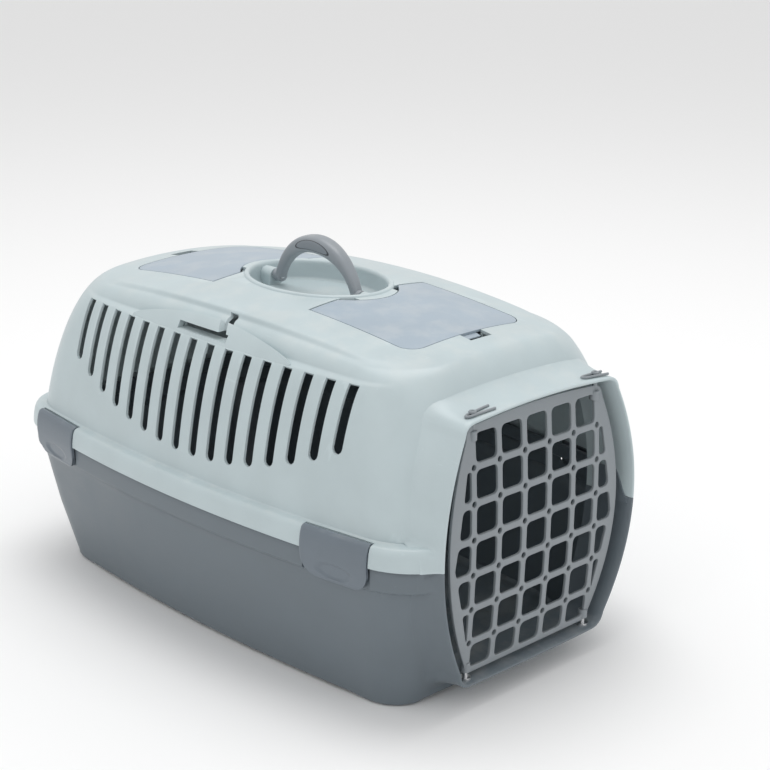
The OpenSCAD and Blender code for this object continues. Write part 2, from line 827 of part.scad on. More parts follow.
// arched handle, standing up, with an eye at each foot
module handle() {
    n = 16;
    m = 25;
    pts = [for (k = [0:m - 1]) let (a = -74 + 148 * k / (m - 1), g = grip_half(a))
        for (i = [0:n - 1]) let (t = -360 * i / n, r = handle_r - 2 + g[1] * sin(t))
            [g[0] * cos(t), r * sin(a), handle_mid_z + r * cos(a)]];
    color(grey)
        difference() {
            union() {
                polyhedron(points = pts, faces = stack_faces(n, m), convexity = 6);
                for (s = [-1, 1]) {
                    translate([0, s * leg_y, handle_z])
                        rotate([90, 0, 0])
                            bar(6.4, 10);
                }
            }
            for (s = [-1, 1]) {
                translate([0, s * leg_y, handle_z])
                    rotate([90, 0, 0])
                        bar(handle_pin_r + fit, 30);
                translate([s * 8.7 - 2, 0, handle_mid_z + handle_r - 5])
                    rotate([90, 0, 90])
                        linear_extrude(height = 4)
                            pad_outline();
            }
        }
}

// flattened oval of the grip's inlay
module pad_outline() {
    polygon([for (i = [0:29]) let (y = 27 * cos(12 * i)) [y, 5.4 * sin(12 * i) - 0.0065 * y * y]]);
}

// the two soft inlays in the sides of the grip
module handle_pad() {
    color(shell_dark)
        for (s = [-1, 1]) {
            translate([s * 8 - 1.3, 0, handle_mid_z + handle_r - 5])
                rotate([90, 0, 90])
                    linear_extrude(height = 2.6)
                        pad_outline();
        }
}

// the two pins that the handle turns on
module handle_pins() {
    color(steel)
        for (s = [-1, 1]) {
            translate([0, s * 63.5, handle_z])
                rotate([90, 0, 0])
                    bar(handle_pin_r, 21);
        }
}

bottom_shell();
bottom_collar();
top_shell();
top_collar();
handle_cup();
front_pan();
rear_pan();
door();
door_pins();
door_lever_left();
door_lever_right();
latch_front_left();
latch_rear_left();
latch_front_right();
latch_rear_right();
latch_pins();
front_lid();
rear_lid();
lid_pins();
handle();
handle_pad();
handle_pins();
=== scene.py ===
import math
import bmesh
import bpy
import numpy as np
from mathutils import Matrix, Vector


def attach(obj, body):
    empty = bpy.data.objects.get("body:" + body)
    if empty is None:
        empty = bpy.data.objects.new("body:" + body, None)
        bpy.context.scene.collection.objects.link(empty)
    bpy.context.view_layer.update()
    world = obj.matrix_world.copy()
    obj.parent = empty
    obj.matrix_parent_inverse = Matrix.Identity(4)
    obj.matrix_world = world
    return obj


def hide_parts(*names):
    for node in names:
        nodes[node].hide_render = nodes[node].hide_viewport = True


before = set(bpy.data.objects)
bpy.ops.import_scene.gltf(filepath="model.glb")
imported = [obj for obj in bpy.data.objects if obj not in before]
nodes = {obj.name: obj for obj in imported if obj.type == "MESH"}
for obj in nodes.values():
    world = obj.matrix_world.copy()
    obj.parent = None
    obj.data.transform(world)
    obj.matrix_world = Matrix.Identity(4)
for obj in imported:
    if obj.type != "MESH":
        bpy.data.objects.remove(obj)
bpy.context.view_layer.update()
mm = 0.001
print("frame loaded")

# plan and profile of the whole body, in mm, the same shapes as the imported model
body = dict(
    baseHalfW=154.5, baseHalfL=259.5, skirtHalfW=192.5, skirtHalfL=305.0, footHalfW=178.0, footHalfL=291.0,
    foot=175.0, crown=337.0, lean=51.0, wall=2.8, sideBow=0.00028, endBow=0.00009, bowW=180, bowL=300,
    joint=152.0, gap=0.4,
)


# mesh helpers

alongY = (0, 2, 1)  # the order of axes that lays a turned part along y

def addObject(name, data):
    # an object at the origin, linked to the scene
    thing = bpy.data.objects.new(name, data)
    bpy.context.scene.collection.objects.link(thing)
    return thing


def makePiece(name, verts, faces, rideOn, slotName, smoothAngle=35, merged=False):
    # one object at the origin from an array of points in mm and lists of faces, its doubles merged if asked
    mesh = bpy.data.meshes.new(name)
    mesh.from_pydata((np.asarray(verts, dtype=float) * mm).tolist(), [], [list(map(int, f)) for f in faces])
    mesh.update()
    mesh.validate()
    piece = addObject(name, mesh)
    smoothShade(piece, smoothAngle)
    if merged:
        mergeAndRecalc(piece, angle=smoothAngle)
    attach(piece, rideOn)
    return piece


def smoothShade(piece, angle):
    # smooth faces, with sharp edges wherever two faces meet at more than the angle in degrees
    mesh = piece.data
    mesh.polygons.foreach_set("use_smooth", np.ones(len(mesh.polygons), dtype=bool))
    mesh.set_sharp_from_angle(angle=math.radians(angle))
    mesh.update()


def gridFaces(rows, cols, closedU=True, skip=None):
    # quads between neighbouring rows and columns; closedU joins the last column to the first
    r = np.arange(rows - 1)[:, None]
    c = np.arange(cols if closedU else cols - 1)[None, :]
    d = (c + 1) % cols
    quads = np.stack([r * cols + c, r * cols + d, (r + 1) * cols + d, (r + 1) * cols + c], axis=-1)
    if skip is not None:
        quads = quads[~skip]
    return quads.reshape(-1, 4)


def hoopFaces(rows, cols, ringed=False):
    # quads of a closed profile (rows) carried along a path (cols); ringed joins the path's ends, else they get caps
    i, j = np.arange(rows)[:, None], np.arange(cols if ringed else cols - 1)[None, :]
    k, l = (i + 1) % rows, (j + 1) % cols
    faces = np.stack([i * cols + j, i * cols + l, k * cols + l, k * cols + j], axis=-1).reshape(-1, 4).tolist()
    if ringed:
        return faces
    ends = np.arange(rows) * cols
    return faces + [ends.tolist(), (ends + cols - 1)[::-1].tolist()]


def rodFaces(rows, cols, flip=False):
    # quads between stacked rings, with a cap on the first and the last one; flip turns them all over
    last = (rows - 1) * cols
    faces = gridFaces(rows, cols).tolist() + [list(range(cols))[::-1], list(range(last, last + cols))]
    return [face[::-1] for face in faces] if flip else faces


def mergeAndRecalc(piece, distance=0.00002, angle=None):
    # doubles merged, faces turned outwards and, if an angle is given, shaded by it again
    bm = bmesh.new()
    bm.from_mesh(piece.data)
    bmesh.ops.remove_doubles(bm, verts=bm.verts, dist=distance)
    bmesh.ops.recalc_face_normals(bm, faces=bm.faces)
    bm.to_mesh(piece.data)
    bm.free()
    if angle is not None:
        smoothShade(piece, angle)


def addModifier(piece, name, kind, **values):
    # a modifier with its settings given by name
    modifier = piece.modifiers.new(name, kind)
    for key, value in values.items():
        setattr(modifier, key, value)
    return modifier


def bakeModifiers(piece, angle=35):
    # the modifiers' result becomes the piece's own mesh
    graph = bpy.context.evaluated_depsgraph_get()
    mesh = bpy.data.meshes.new_from_object(piece.evaluated_get(graph))
    old = piece.data
    piece.modifiers.clear()
    piece.data = mesh
    bpy.data.meshes.remove(old)
    smoothShade(piece, angle)


def thicken(piece, thickness):
    # a sheet gets its wall, inwards from the surface that was drawn
    addModifier(piece, "wall", "SOLIDIFY", thickness=thickness * mm, offset=-1, use_even_offset=True)


def bevelEdges(piece, width, segments=2, angle=35):
    # rounds every edge whose faces meet at more than the angle
    addModifier(piece, "edges", "BEVEL", width=width * mm, segments=segments, limit_method="ANGLE",
                angle_limit=math.radians(angle), harden_normals=False, miter_outer="MITER_ARC")


def prism(points, low, high, axis):
    # closed prism over a polygon; axis is the direction in which it is extruded
    p = np.asarray(points, dtype=float)
    n = len(p)
    lows, highs = np.full(n, low), np.full(n, high)
    if axis == "z":
        verts = np.concatenate([np.c_[p, lows], np.c_[p, highs]])
    elif axis == "y":
        verts = np.concatenate([np.c_[p[:, 0], lows, p[:, 1]], np.c_[p[:, 0], highs, p[:, 1]]])
    else:
        verts = np.concatenate([np.c_[lows, p], np.c_[highs, p]])
    i = np.arange(n)
    sides = np.stack([i, (i + 1) % n, (i + 1) % n + n, i + n], axis=1).tolist()
    return verts, sides + [i[::-1].tolist(), (i + n).tolist()]


def joinParts(parts):
    # several (points, faces) pairs as one
    verts, faces, start = [], [], 0
    for v, f in parts:
        verts.append(np.asarray(v, dtype=float))
        faces += [[int(k) + start for k in face] for face in f]
        start += len(v)
    return np.concatenate(verts), faces


def turns(count):
    # angles spaced evenly round a circle
    return np.linspace(0, 2 * np.pi, count, endpoint=False)


def tube(profile, centre, count=40, order=(0, 1, 2)):
    # a closed profile of (radius, height) turned about its own axis, which order may put along x, y or z
    a = turns(count)
    points = np.array([np.c_[r * np.cos(a), r * np.sin(a), np.full(count, h)] for r, h in profile])
    return (points[:, :, order] + centre).reshape(-1, 3), hoopFaces(len(profile), count, ringed=True)


def cutAway(piece, parts):
    # takes the closed shapes in parts out of the piece
    verts, faces = joinParts(parts)
    mesh = bpy.data.meshes.new("cutter")
    mesh.from_pydata((verts * mm).tolist(), [], faces)
    mesh.update()
    cutter = addObject("cutter", mesh)
    mergeAndRecalc(cutter)
    addModifier(piece, "cut", "BOOLEAN", operation="DIFFERENCE", object=cutter, solver="MANIFOLD")
    bakeModifiers(piece)
    bpy.data.objects.remove(cutter)
    bpy.data.meshes.remove(mesh)


def smoothStep(low, high, x):
    # 0 below low, 1 above high, and t t (3 - 2 t) between them
    t = np.clip((x - low) / (high - low), 0, 1)
    return t * t * (3 - 2 * t)


# the body's own shapes

def sideSwell(y):
    # what the sides' half width is multiplied by at y
    return 1 - body["sideBow"] * y * y / body["bowW"]


def bow(x, y):
    # sides and ends swell towards their middles: x(1 - s y^2 / w), y(1 - e x^2 / l)
    return x * sideSwell(y), y * (1 - body["endBow"] * x * x / body["bowL"])


def crownHeight(x, y, drop=0.0):
    # the top falls away as a parabola both ways
    return body["crown"] - drop - 0.0008 * x * x - 0.00033 * y * y


def leaned(h):
    # how far the wall has leaned in at the fraction h of its height
    return body["lean"] * (0.35 * h + 0.65 * (1 - np.sqrt(np.maximum(0, 1 - h ** 2.5))))


def wallSize(h):
    # half sizes and corner radius of the upper wall at the fraction h of its height
    return body["footHalfW"] - leaned(h), body["footHalfL"] - leaned(h), 50 + 12 * h


def quadrant(a, b, r):
    # first quadrant of a bowed round rectangle of half sizes a, b and corner radius r: the columns at the
    # places sideY along the side, then endCount columns evenly spaced round the corner to the middle of the end
    t = np.linspace(0, np.pi / 2, 60)
    x = np.r_[np.full(60, a), a - r + r * np.cos(t), np.linspace(a - r, 0, 60)[1:]]
    y = np.r_[np.linspace(0, b - r, 61)[:-1], b - r + r * np.sin(t), np.full(59, b)]
    x, y = bow(x, y)
    xs = np.interp(sideY, y[:110], x[:110])
    rest = y > ySide
    rest[110:] = True
    px, py = np.r_[np.interp(ySide, y[:110], x[:110]), x[rest]], np.r_[ySide, y[rest]]
    s = np.r_[0, np.cumsum(np.hypot(np.diff(px), np.diff(py)))]
    e = np.linspace(0, s[-1], endCount + 1)[1:]
    return np.r_[xs, np.interp(e, s, px)], np.r_[sideY, np.interp(e, s, py)]


def fullRing(a, b, r):
    # the quadrant's columns carried round all four quadrants, counter-clockwise from above
    x, y = quadrant(a, b, r)
    back, front = slice(0, -1), slice(None, 0, -1)
    xs = np.r_[x[back], -x[front], -x[back], x[front]]
    ys = np.r_[y[back], y[front], -y[back], -y[front]]
    return xs, ys


vents = dict(count=16, pitch=25.9, width=11.5, top=298.5, low=192.5, rise=0.00122)
ySide = 205.0


def sideColumns():
    # columns at each slot's edges and round its lower end, with two more on every rib
    edge = vents["width"] / 2 * np.sin(np.radians([-90, -60, -30, 0, 30, 60, 90]))
    rib = (vents["pitch"] - vents["width"]) * np.array([1 / 3, 2 / 3])
    centres = (np.arange(vents["count"] // 2) + 0.5) * vents["pitch"]
    columns = [np.r_[c + edge, c + vents["width"] / 2 + rib] for c in centres]
    return np.concatenate([[0.0, 3.6], *columns])[:-1]


sideY = sideColumns()
endCount = 46
ringCount = 4 * (len(sideY) + endCount - 1)


def ringAt(a, b, r, z):
    # one closed ring of columns at the height z
    x, y = fullRing(a, b, r)
    return np.c_[x, y, np.broadcast_to(z, x.shape)]


scoop = dict(low=299.3, depth=10.0, drop=4.2, reach=228.0, keep=0.4)


def hollow(x, y):
    # how strongly the long hollow over the slots acts: full at mid length, gone at its ends and off the sides
    return np.clip(1 - (y / scoop["reach"]) ** 2, 0, 1) ** 0.75 * smoothStep(88, 108, np.abs(x))


def wallTable(count=110):
    # outline points of the upper wall, hollow included, for many fractions h of its height
    h = np.sin(np.linspace(0, np.pi / 2, count)) ** 0.9
    layers = []
    for k in h:
        x, y = fullRing(*wallSize(k))
        z = body["foot"] + k * (crownHeight(x, y) - body["foot"])
        fade = smoothStep(0.86, 1.0, k)
        inward = scoop["depth"] * smoothStep(scoop["low"], scoop["low"] + 4, z) * (1 - (1 - scoop["keep"]) * fade)
        strength = hollow(x, y)
        layers.append(np.c_[x - np.sign(x) * strength * inward, y, z - scoop["drop"] * strength * fade])
    return np.array(layers)


print("shapes ready")


# upper shell

def slotFoot(y):
    # height at which a slot's straight sides start; the slots get shorter towards both ends
    return vents["low"] + vents["rise"] * y ** 2 + vents["width"] / 2


def upperShell():
    # skirt profile, wall rows that follow the slots' ends, then crown rows shrinking to the handle's cup
    table = wallTable()
    ys = table[0, :, 1]
    onSide = np.abs(ys) < ySide - 0.5
    # slot number of a column, and how far it is from that slot's middle
    k = np.floor(np.abs(ys) / vents["pitch"])
    offset = np.abs(ys) - (k + 0.5) * vents["pitch"]
    half = vents["width"] / 2
    inSlot = onSide & (np.abs(offset) < half + 0.05) & (k < vents["count"] / 2)
    centre = (k + 0.5) * vents["pitch"]
    # the row that the slots' lower ends stand on: round in a slot, level with it on a rib, smooth past the last one
    bottom = slotFoot(centre)
    line = np.where(inSlot, bottom - np.sqrt(np.maximum(0, half ** 2 - offset ** 2)), slotFoot(ys))
    line = np.where(onSide, line, slotFoot(ySide))
    line = np.where(onSide & ~inSlot & (k < vents["count"] / 2), bottom, line)
    foot = table[0, :, 2]
    top = table[-1, :, 2]
    low = [foot + (line - foot) * f for f in np.linspace(0, 1, 9)]
    mid = [line + (vents["top"] - line) * f for f in np.linspace(0, 1, 20)[1:]]
    high = [vents["top"] + (top - vents["top"]) * f for f in np.linspace(0, 1, 25)[1:] ** 0.93]
    rowsZ = np.array(low + mid + high)
    wall = np.empty((len(rowsZ), ringCount, 3))
    for c in range(ringCount):
        tz = table[:, c, 2]
        wall[:, c, 0] = np.interp(rowsZ[:, c], tz, table[:, c, 0])
        wall[:, c, 1] = np.interp(rowsZ[:, c], tz, table[:, c, 1])
    wall[:, :, 2] = rowsZ
    # skirt: inset from its lower edge and height
    skirt = np.array([[0.7, 152.4], [0.15, 152.9], [0.0, 153.8], [0.25, 157.5], [0.8, 162], [1.6, 166.5],
                      [2.6, 169.6], [3.9, 171.6], [5.6, 172.7], [8.0, 173.2], [11.0, 173.45], [13.2, 173.9],
                      [14.2, 174.5]])
    rings = [ringAt(body["skirtHalfW"] - d, body["skirtHalfL"] - d, 54 - d * 0.2, z) for d, z in skirt]
    rimX, rimY = fullRing(body["footHalfW"] - body["lean"], body["footHalfL"] - body["lean"], 62)
    crownRows = []
    for s in (0.99, 0.98, 0.97, 0.96, 0.95, 0.94, 0.93, 0.91, 0.88, 0.84, 0.79, 0.72, 0.64, 0.56, 0.48, 0.4, 0.33):
        x, y = rimX * s, rimY * s
        f = hollow(rimX, rimY) * smoothStep(0.93, 1.0, s)
        crownRows.append(np.c_[x - np.sign(x) * f * scoop["depth"] * scoop["keep"], y,
                               crownHeight(x, y) - scoop["drop"] * f])
    points = np.concatenate([np.array(rings), wall, np.array(crownRows)])
    rows = len(points)
    # the slots' cells, left out
    skip = np.zeros((rows - 1, ringCount), dtype=bool)
    nxt = np.roll(np.arange(ringCount), -1)
    both = inSlot & inSlot[nxt] & (k == k[nxt]) & (np.sign(ys) == np.sign(ys[nxt]))
    first = len(rings) + len(low) - 1
    skip[first:first + len(mid), :] = both
    piece = makePiece("upperShell", points.reshape(-1, 3), gridFaces(rows, ringCount, skip=skip),
                      "upper_shell", "shell_light")
    thicken(piece, body["wall"])
    bakeModifiers(piece)
    return piece


shellLight = upperShell()
print("upper shell", len(shellLight.data.polygons))


def ellipse(a, b, count=72):
    # a cos t, b sin t for evenly spaced t
    t = turns(count)
    return np.c_[a * np.cos(t), b * np.sin(t)]


lid = dict(halfW=76.0, inY=71.2, outY=206.0, corner=18.0, arcA=60.0, arcB=97.0, gap=0.9, ease=1.1,
           thick=2.6)
cup = dict(a=59.5, b=82.0, lip=2.3, wall=2.0, floor=314.1, round=6.5)


def lidEdge(x, grow):
    # inner and outer edge of a storage lid over x: a straight inner edge broken by the arc, round outer corners
    arc = (lid["arcB"] - grow) * np.sqrt(np.maximum(0, 1 - (x / (lid["arcA"] - grow)) ** 2))
    inner = np.maximum(lid["inY"] + lid["ease"] * (grow == 0) - grow, arc)
    over = np.maximum(0, np.abs(x) - (lid["halfW"] - lid["corner"]))
    r = lid["corner"] + grow
    outer = lid["outY"] - lid["corner"] + np.sqrt(np.maximum(0, r * r - over * over))
    return inner, outer


def lidColumns(grow):
    # x of the lid's columns: close together at the arc's kinks and round the outer corners
    half = lid["halfW"] + grow
    kink = (lid["arcA"] - grow) * math.sqrt(1 - ((lid["inY"] - grow) / (lid["arcB"] - grow)) ** 2)
    t = np.linspace(0, 1, 12)
    right = np.r_[np.linspace(0, kink, 14)[1:], np.linspace(kink, half - lid["corner"], 6)[1:],
                  half - lid["corner"] + (lid["corner"]) * np.sin(t[1:] * np.pi / 2)]
    return np.r_[-right[::-1], 0, right]


def lidOutline(grow):
    # the lid's closed outline, grown all round
    x = lidColumns(grow)
    inner, outer = lidEdge(x, grow)
    return np.concatenate([np.c_[x, inner], np.c_[x, outer][::-1]])


def barrel(z, inset):
    # half width of the collar at height z
    return 133 - 0.00222 * (z - 158) ** 2 - inset


def collarUpper(inset, count=28):
    # the collar's upper outline from the left joint over the top to the right joint, as (x, z)
    zTop, r = 269.0, 14.0
    w = barrel(zTop, inset)
    z = np.linspace(body["joint"] + body["gap"], zTop, count)
    left = np.c_[-barrel(z, inset), z]
    a = np.radians(np.linspace(0, 90, 9)[1:])
    cornerL = np.c_[-w + r - r * np.cos(a), zTop + (12 - inset) * np.sin(a)]
    x = np.linspace(-(w - r), w - r, 22)[1:-1]
    top = np.c_[x, zTop + 12 - inset + 4 * (1 - (x / (w - r)) ** 2)]
    right = np.concatenate([left, cornerL])[::-1] * [-1, 1]
    return np.concatenate([left, cornerL, top, right])


def collarLower(inset, count=28):
    # the collar's lower outline from the right joint under the floor to the left joint, as (x, z)
    zLow, r = 40.0, 14.0
    w = barrel(zLow, inset)
    z = np.linspace(body["joint"], zLow, count)
    right = np.c_[barrel(z, inset), z]
    a = np.radians(np.linspace(0, 90, 9)[1:])
    corner = np.c_[w - r + r * np.cos(a), zLow - (15 - inset) * np.sin(a)]
    x = np.linspace(w - r, -(w - r), 22)[1:-1]
    low = np.c_[x, zLow - 15 + inset - (1 - (x / (w - r)) ** 2)]
    left = np.concatenate([right, corner])[::-1] * [-1, 1]
    return np.concatenate([right, corner, low, left])


def collarFront(z):
    # y of the collar's lip at height z
    return -305 + 0.00035 * (z - 158) ** 2


strap = dict(slot=[[-30.5, 302.3], [42, 302.3], [42, 309.5], [-30.5, 309.5]],
             channel=[[-31, 302.0], [-20, 302.0], [-9, 323.5], [-20, 323.5]],
             spans=((118, 200), (-200, -118)))


def strapCuts():
    # the strap slot and the slanted channel that leads up out of it, on both sides
    return [[prism(strap[shape], *span, "x") for span in strap["spans"]] for shape in ("slot", "channel")]


throughCrown = (290, 360)
notch = np.array([[-14, 200], [14, 200], [14, 221], [-14, 221]])  # for a lid's snap
pocket = np.array([[25.4, 71.4], [43.2, 71.4], [43.2, 88.4], [25.4, 88.4]])  # for a lid's hinge


def openShell(piece):
    # the handle's cup, the lids, their snap notches, the strap slots with their channels, and the doorway
    outline = lidOutline(lid["gap"])
    straps, channels = strapCuts()
    upper = collarUpper(1.4)
    doorway = np.concatenate([upper, [[upper[-1, 0], 100], [upper[0, 0], 100]]])
    cutAway(piece, [prism(ellipse(cup["a"] + cup["lip"], cup["b"] + cup["lip"]), *throughCrown, "z"),
                    *straps, prism(doorway, -330, -262, "y")])
    cutAway(piece, [prism(outline * [1, s], *throughCrown, "z") for s in (1, -1)] + channels)
    cutAway(piece, [prism(notch * [1, s], 295, 352, "z") for s in (1, -1)]
            + [prism(pocket * [s, t], 300, 352, "z") for s in (1, -1) for t in (1, -1)])


openShell(shellLight)


pad = dict(halfL=117.0, fadeL=118.5, share=0.97, shape=0.6, low=300.6, reach=0.985, thick=6.0, rows=16)


def makePads():
    # a lens over each strap slot that keeps the wall's full curve, so it stands proud of the hollow
    y = pad["halfL"] * np.linspace(-1, 1, 71)
    parts = []
    share = pad["share"] * (1 - (y / pad["fadeL"]) ** 2) ** pad["shape"]
    top = crownHeight(140, y)
    start = (pad["low"] - body["foot"]) / (top - body["foot"])
    for s in (1, -1):
        grid = []
        for f in np.linspace(0, 1, pad["rows"]):
            h = start + (pad["reach"] - start) * share * f
            x = (body["footHalfW"] - leaned(h)) * sideSwell(y) - 0.2
            z = body["foot"] + h * (crownHeight(x, y) - body["foot"]) - 0.4
            grid.append(np.c_[s * x, y, z])
        faces = gridFaces(pad["rows"], len(y), closedU=False)
        parts.append((np.concatenate(grid), (faces if s > 0 else faces[:, ::-1]).tolist()))
    piece = makePiece("strapPads", *joinParts(parts), "upper_shell", "shell_light", 50)
    thicken(piece, pad["thick"])
    bevelEdges(piece, 0.8, 3, 50)
    bakeModifiers(piece, 50)
    for cuts in strapCuts():
        cutAway(piece, cuts)
    return piece


pads = makePads()
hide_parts("top_shell")
print("openings cut", len(shellLight.data.polygons))


# lower shell

# rows of (inset from the base's or the skirt's half sizes, corner radius, height)
tub = dict(
    floor=[(60, 12, 4.4), (30, 18, 4.4), (22, 22, 4.2), (18, 24, 1.0), (15, 25, 0.2), (8, 28, 0.0), (4.5, 30, 0.4),
           (1.8, 32, 2.0), (0.4, 33.5, 4.4)],
    rim=[(8.4, 51, 128.6), (6.6, 52, 129.9), (5.0, 52, 130.6), (4.2, 52, 131.8), (3.9, 52, 134), (3.4, 53, 146),
         (3.3, 53, 150.9), (3.8, 53, 151.8), (5, 53, 152), (8.6, 50, 152), (9.3, 50, 152.6), (10.6, 50, 162),
         (11.5, 50, 165.8)],
    arch=4.4,
)


def tubRings():
    # outer profile of the lower shell from under the floor to the rim: half sizes, corner radius, height;
    # between the two tables the wall leans out in two straight runs
    b, l = body["baseHalfW"], body["baseHalfL"]
    sw, sl = body["skirtHalfW"], body["skirtHalfL"]
    rings = [(b - d, l - d, r, z) for d, r, z in tub["floor"]]
    rings += [(b + 15.5 * f, l + 18.5 * f, 34 + 8 * f, 7 + 58.5 * f) for f in np.linspace(0, 1, 7)]
    rings += [(b + 15.5 + 13 * f, l + 18.5 + 16 * f, 42 + 8 * f, 65.5 + 62.0 * f) for f in np.linspace(0, 1, 8)[1:]]
    return rings + [(sw - d, sl - d, r, z) for d, r, z in tub["rim"]]


def lowerShell():
    # the floor arches up between the four corner feet
    rings = []
    for a, b, r, z in tubRings():
        ring = ringAt(a, b, r, z)
        x, y = np.abs(ring[:, 0]), np.abs(ring[:, 1])
        arch = np.maximum(1 - smoothStep(178, 214, y), 1 - smoothStep(84, 116, x))
        ring[:, 2] += tub["arch"] * arch * (1 - smoothStep(2, 10, z)) * (z < 4)
        rings.append(np.maximum(ring, [-999, -999, 0]))
    points = np.concatenate(rings)
    centre = len(points)
    points = np.concatenate([points, [[0, 0, tub["arch"]]]])
    fan = [[centre, (k + 1) % ringCount, k] for k in range(ringCount)]
    piece = makePiece("lowerShell", points, gridFaces(len(rings), ringCount).tolist() + fan, "base", "shell_dark")
    thicken(piece, body["wall"])
    bakeModifiers(piece)
    return piece


latchPlace = dict(y=213.5, width=77.0, pinIn=-7.0, pinZ=170.4)
latchPlace["x"] = body["skirtHalfW"] * sideSwell(latchPlace["y"])
latchPlace["turn"] = math.atan(2 * body["sideBow"] * latchPlace["y"] * body["skirtHalfW"] / body["bowW"])


def atLatch(points, sx, sy):
    # local outward, along and up axes to one of the four latches
    p = np.asarray(points, dtype=float)
    c, s = math.cos(latchPlace["turn"]), math.sin(latchPlace["turn"])
    x = latchPlace["x"] + p[:, 0] * c - p[:, 1] * s
    y = latchPlace["y"] + p[:, 0] * s + p[:, 1] * c
    return np.c_[sx * x, sy * y, p[:, 2]]


def boxAt(low, high):
    # upright box between two opposite corners
    lo, hi = np.array(low, float), np.array(high, float)
    corners = np.array([[lo[0], lo[1]], [hi[0], lo[1]], [hi[0], hi[1]], [lo[0], hi[1]]])
    return prism(corners, lo[2], hi[2], "z")


def latchRoom(inner, low, high):
    # the four boxes that clear the latches, from the inner face outwards
    half = latchPlace["width"] / 2 + 0.5
    v, f = boxAt([inner, -half, low], [20, half, high])
    return [(atLatch(v, sx, sy), f) for sx in (1, -1) for sy in (1, -1)]


shellDark = lowerShell()
lower = collarLower(1.4)
doorwayLow = np.concatenate([lower, [[lower[-1, 0], 190], [lower[0, 0], 190]]])
cutAway(shellDark, [prism(doorwayLow, -330, -248, "y")])
cutAway(shellDark, latchRoom(-6.6, 123.0, 153.5))
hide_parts("bottom_shell")
cutAway(shellLight, latchRoom(-10.9, 123.0, 183.0))
bevelEdges(shellLight, 0.5, 2, 40)
bevelEdges(shellDark, 0.5, 2, 40)
print("lower shell", len(shellDark.data.polygons))


# collars

def shellFront(x, z):
    # y of the shells' front surface at x and height z, before the collar is cut out of it
    x, z = np.abs(np.asarray(x, float)), np.asarray(z, float)
    h = np.clip((z - body["foot"]) / (crownHeight(x, -272.0) - body["foot"]), 0, 0.985)
    table = np.array(tubRings())[len(tub["floor"]):]
    a, b, r = (np.where(z > 174, upper, np.interp(z, table[:, 3], table[:, column]))
               for column, upper in enumerate(wallSize(h)))
    skirt = (z > 152) & (z <= 174)
    inset = np.interp(z, [152, 158, 166, 171, 174], [0, 0.4, 1.6, 3.6, 14])
    a = np.where(skirt, body["skirtHalfW"] - inset, a)
    b = np.where(skirt, body["skirtHalfL"] - inset, b)
    r = np.where(skirt, 53, r)
    y = b.copy()
    for _ in range(3):
        raw = x / sideSwell(y)
        over = np.clip(raw - (a - r), 0, r)
        swell = 1 - body["endBow"] * np.minimum(raw, a) ** 2 / body["bowL"]
        y = (b - r + np.sqrt(np.maximum(0, r * r - over * over))) * swell
    return -y


collar = dict(wall=2.8, back=-252.0, shrink=0.965, midZ=158.0, spread=15.0)


def resample(points, count):
    # the same line with count points spaced evenly along it
    s = np.r_[0, np.cumsum(np.hypot(*np.diff(points, axis=0).T))]
    e = np.linspace(0, s[-1], count)
    return np.c_[np.interp(e, s, points[:, 0]), np.interp(e, s, points[:, 1])]


def outwardNormals(points):
    # the line's tangent turned a quarter, away from the collar's middle
    t = np.gradient(points, axis=0)
    n = np.c_[-t[:, 1], t[:, 0]]
    n /= np.linalg.norm(n, axis=1)[:, None]
    side = np.sign(np.sum(n * (points - [0, collar["midZ"]]), axis=1))
    return n * side[:, None]


def atDepth(outline, y):
    # the (x, z) points of an outline, put at y
    return np.c_[outline[:, 0], np.broadcast_to(y, len(outline)), outline[:, 1]]


def shrunk(outline):
    # the outline drawn in towards the collar's middle, as it is at the back edge
    middle = np.array([0, collar["midZ"]])
    return middle + (outline - middle) * collar["shrink"]


def makeCollar(name, outlineOf, rideOn, slotName, joint):
    # a lip along the outline, a fillet out to the shell's own surface and a wall back into the shell
    outer = resample(outlineOf(0.0), 121)
    inner = resample(outlineOf(collar["wall"]), 121)
    n = outwardNormals(outer)
    n[0, 1] = n[-1, 1] = 0
    front = collarFront(outer[:, 1])
    reach = outer + n * collar["spread"]
    reach[:, 1] = np.maximum(reach[:, 1], joint) if joint > body["joint"] else np.minimum(reach[:, 1], joint)
    near = outer + n * 2
    surf = np.maximum(shellFront(*reach.T), front + 1.2)
    surfNear = np.maximum(shellFront(*near.T), front + 1.0)
    rows = [atDepth(shrunk(inner), collar["back"])]
    lipIn = atDepth(inner, front + 1.3)
    for f in np.linspace(0, 1, 8)[1:]:
        rows.append(rows[0] * (1 - f) + lipIn * f)
    for share, lift in ((0.28, 0.35), (0.5, 0.0), (0.76, 0.2)):
        rows.append(atDepth(inner * (1 - share) + outer * share, front + lift))
    p0, p1, p2 = (atDepth(outer, front + 0.9), atDepth(outer + n * 1.6, surfNear - 0.5),
                  atDepth(reach, surf + 0.15))
    for t in np.linspace(0, 1, 16):
        rows.append(p0 * (1 - t) ** 2 + p1 * 2 * t * (1 - t) + p2 * t * t)
    rows.append(p2 + [0, 2.2, 0])
    rows.append(atDepth(outer, np.minimum(surfNear + 3.4, collar["back"] - 1)))
    rows.append(atDepth(shrunk(outer), collar["back"]))
    points = np.array(rows)
    piece = makePiece(name, points.reshape(-1, 3), hoopFaces(*points.shape[:2]), rideOn, slotName, 50, True)
    return piece


upCollar = makeCollar("upperCollar", collarUpper, "upper_shell", "shell_light", body["joint"] + body["gap"])
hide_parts("top_collar")
lowCollar = makeCollar("lowerCollar", collarLower, "base", "shell_dark", body["joint"])
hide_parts("bottom_collar")
print("collars ready")


tongue = dict(front=-300.0, back=-262.0, foot=146.0, low=152.0, rise=27.0, riseFrom=-299.0, riseTo=-284.0,
              insets=(3.4, 4.9), lip=-303.0)


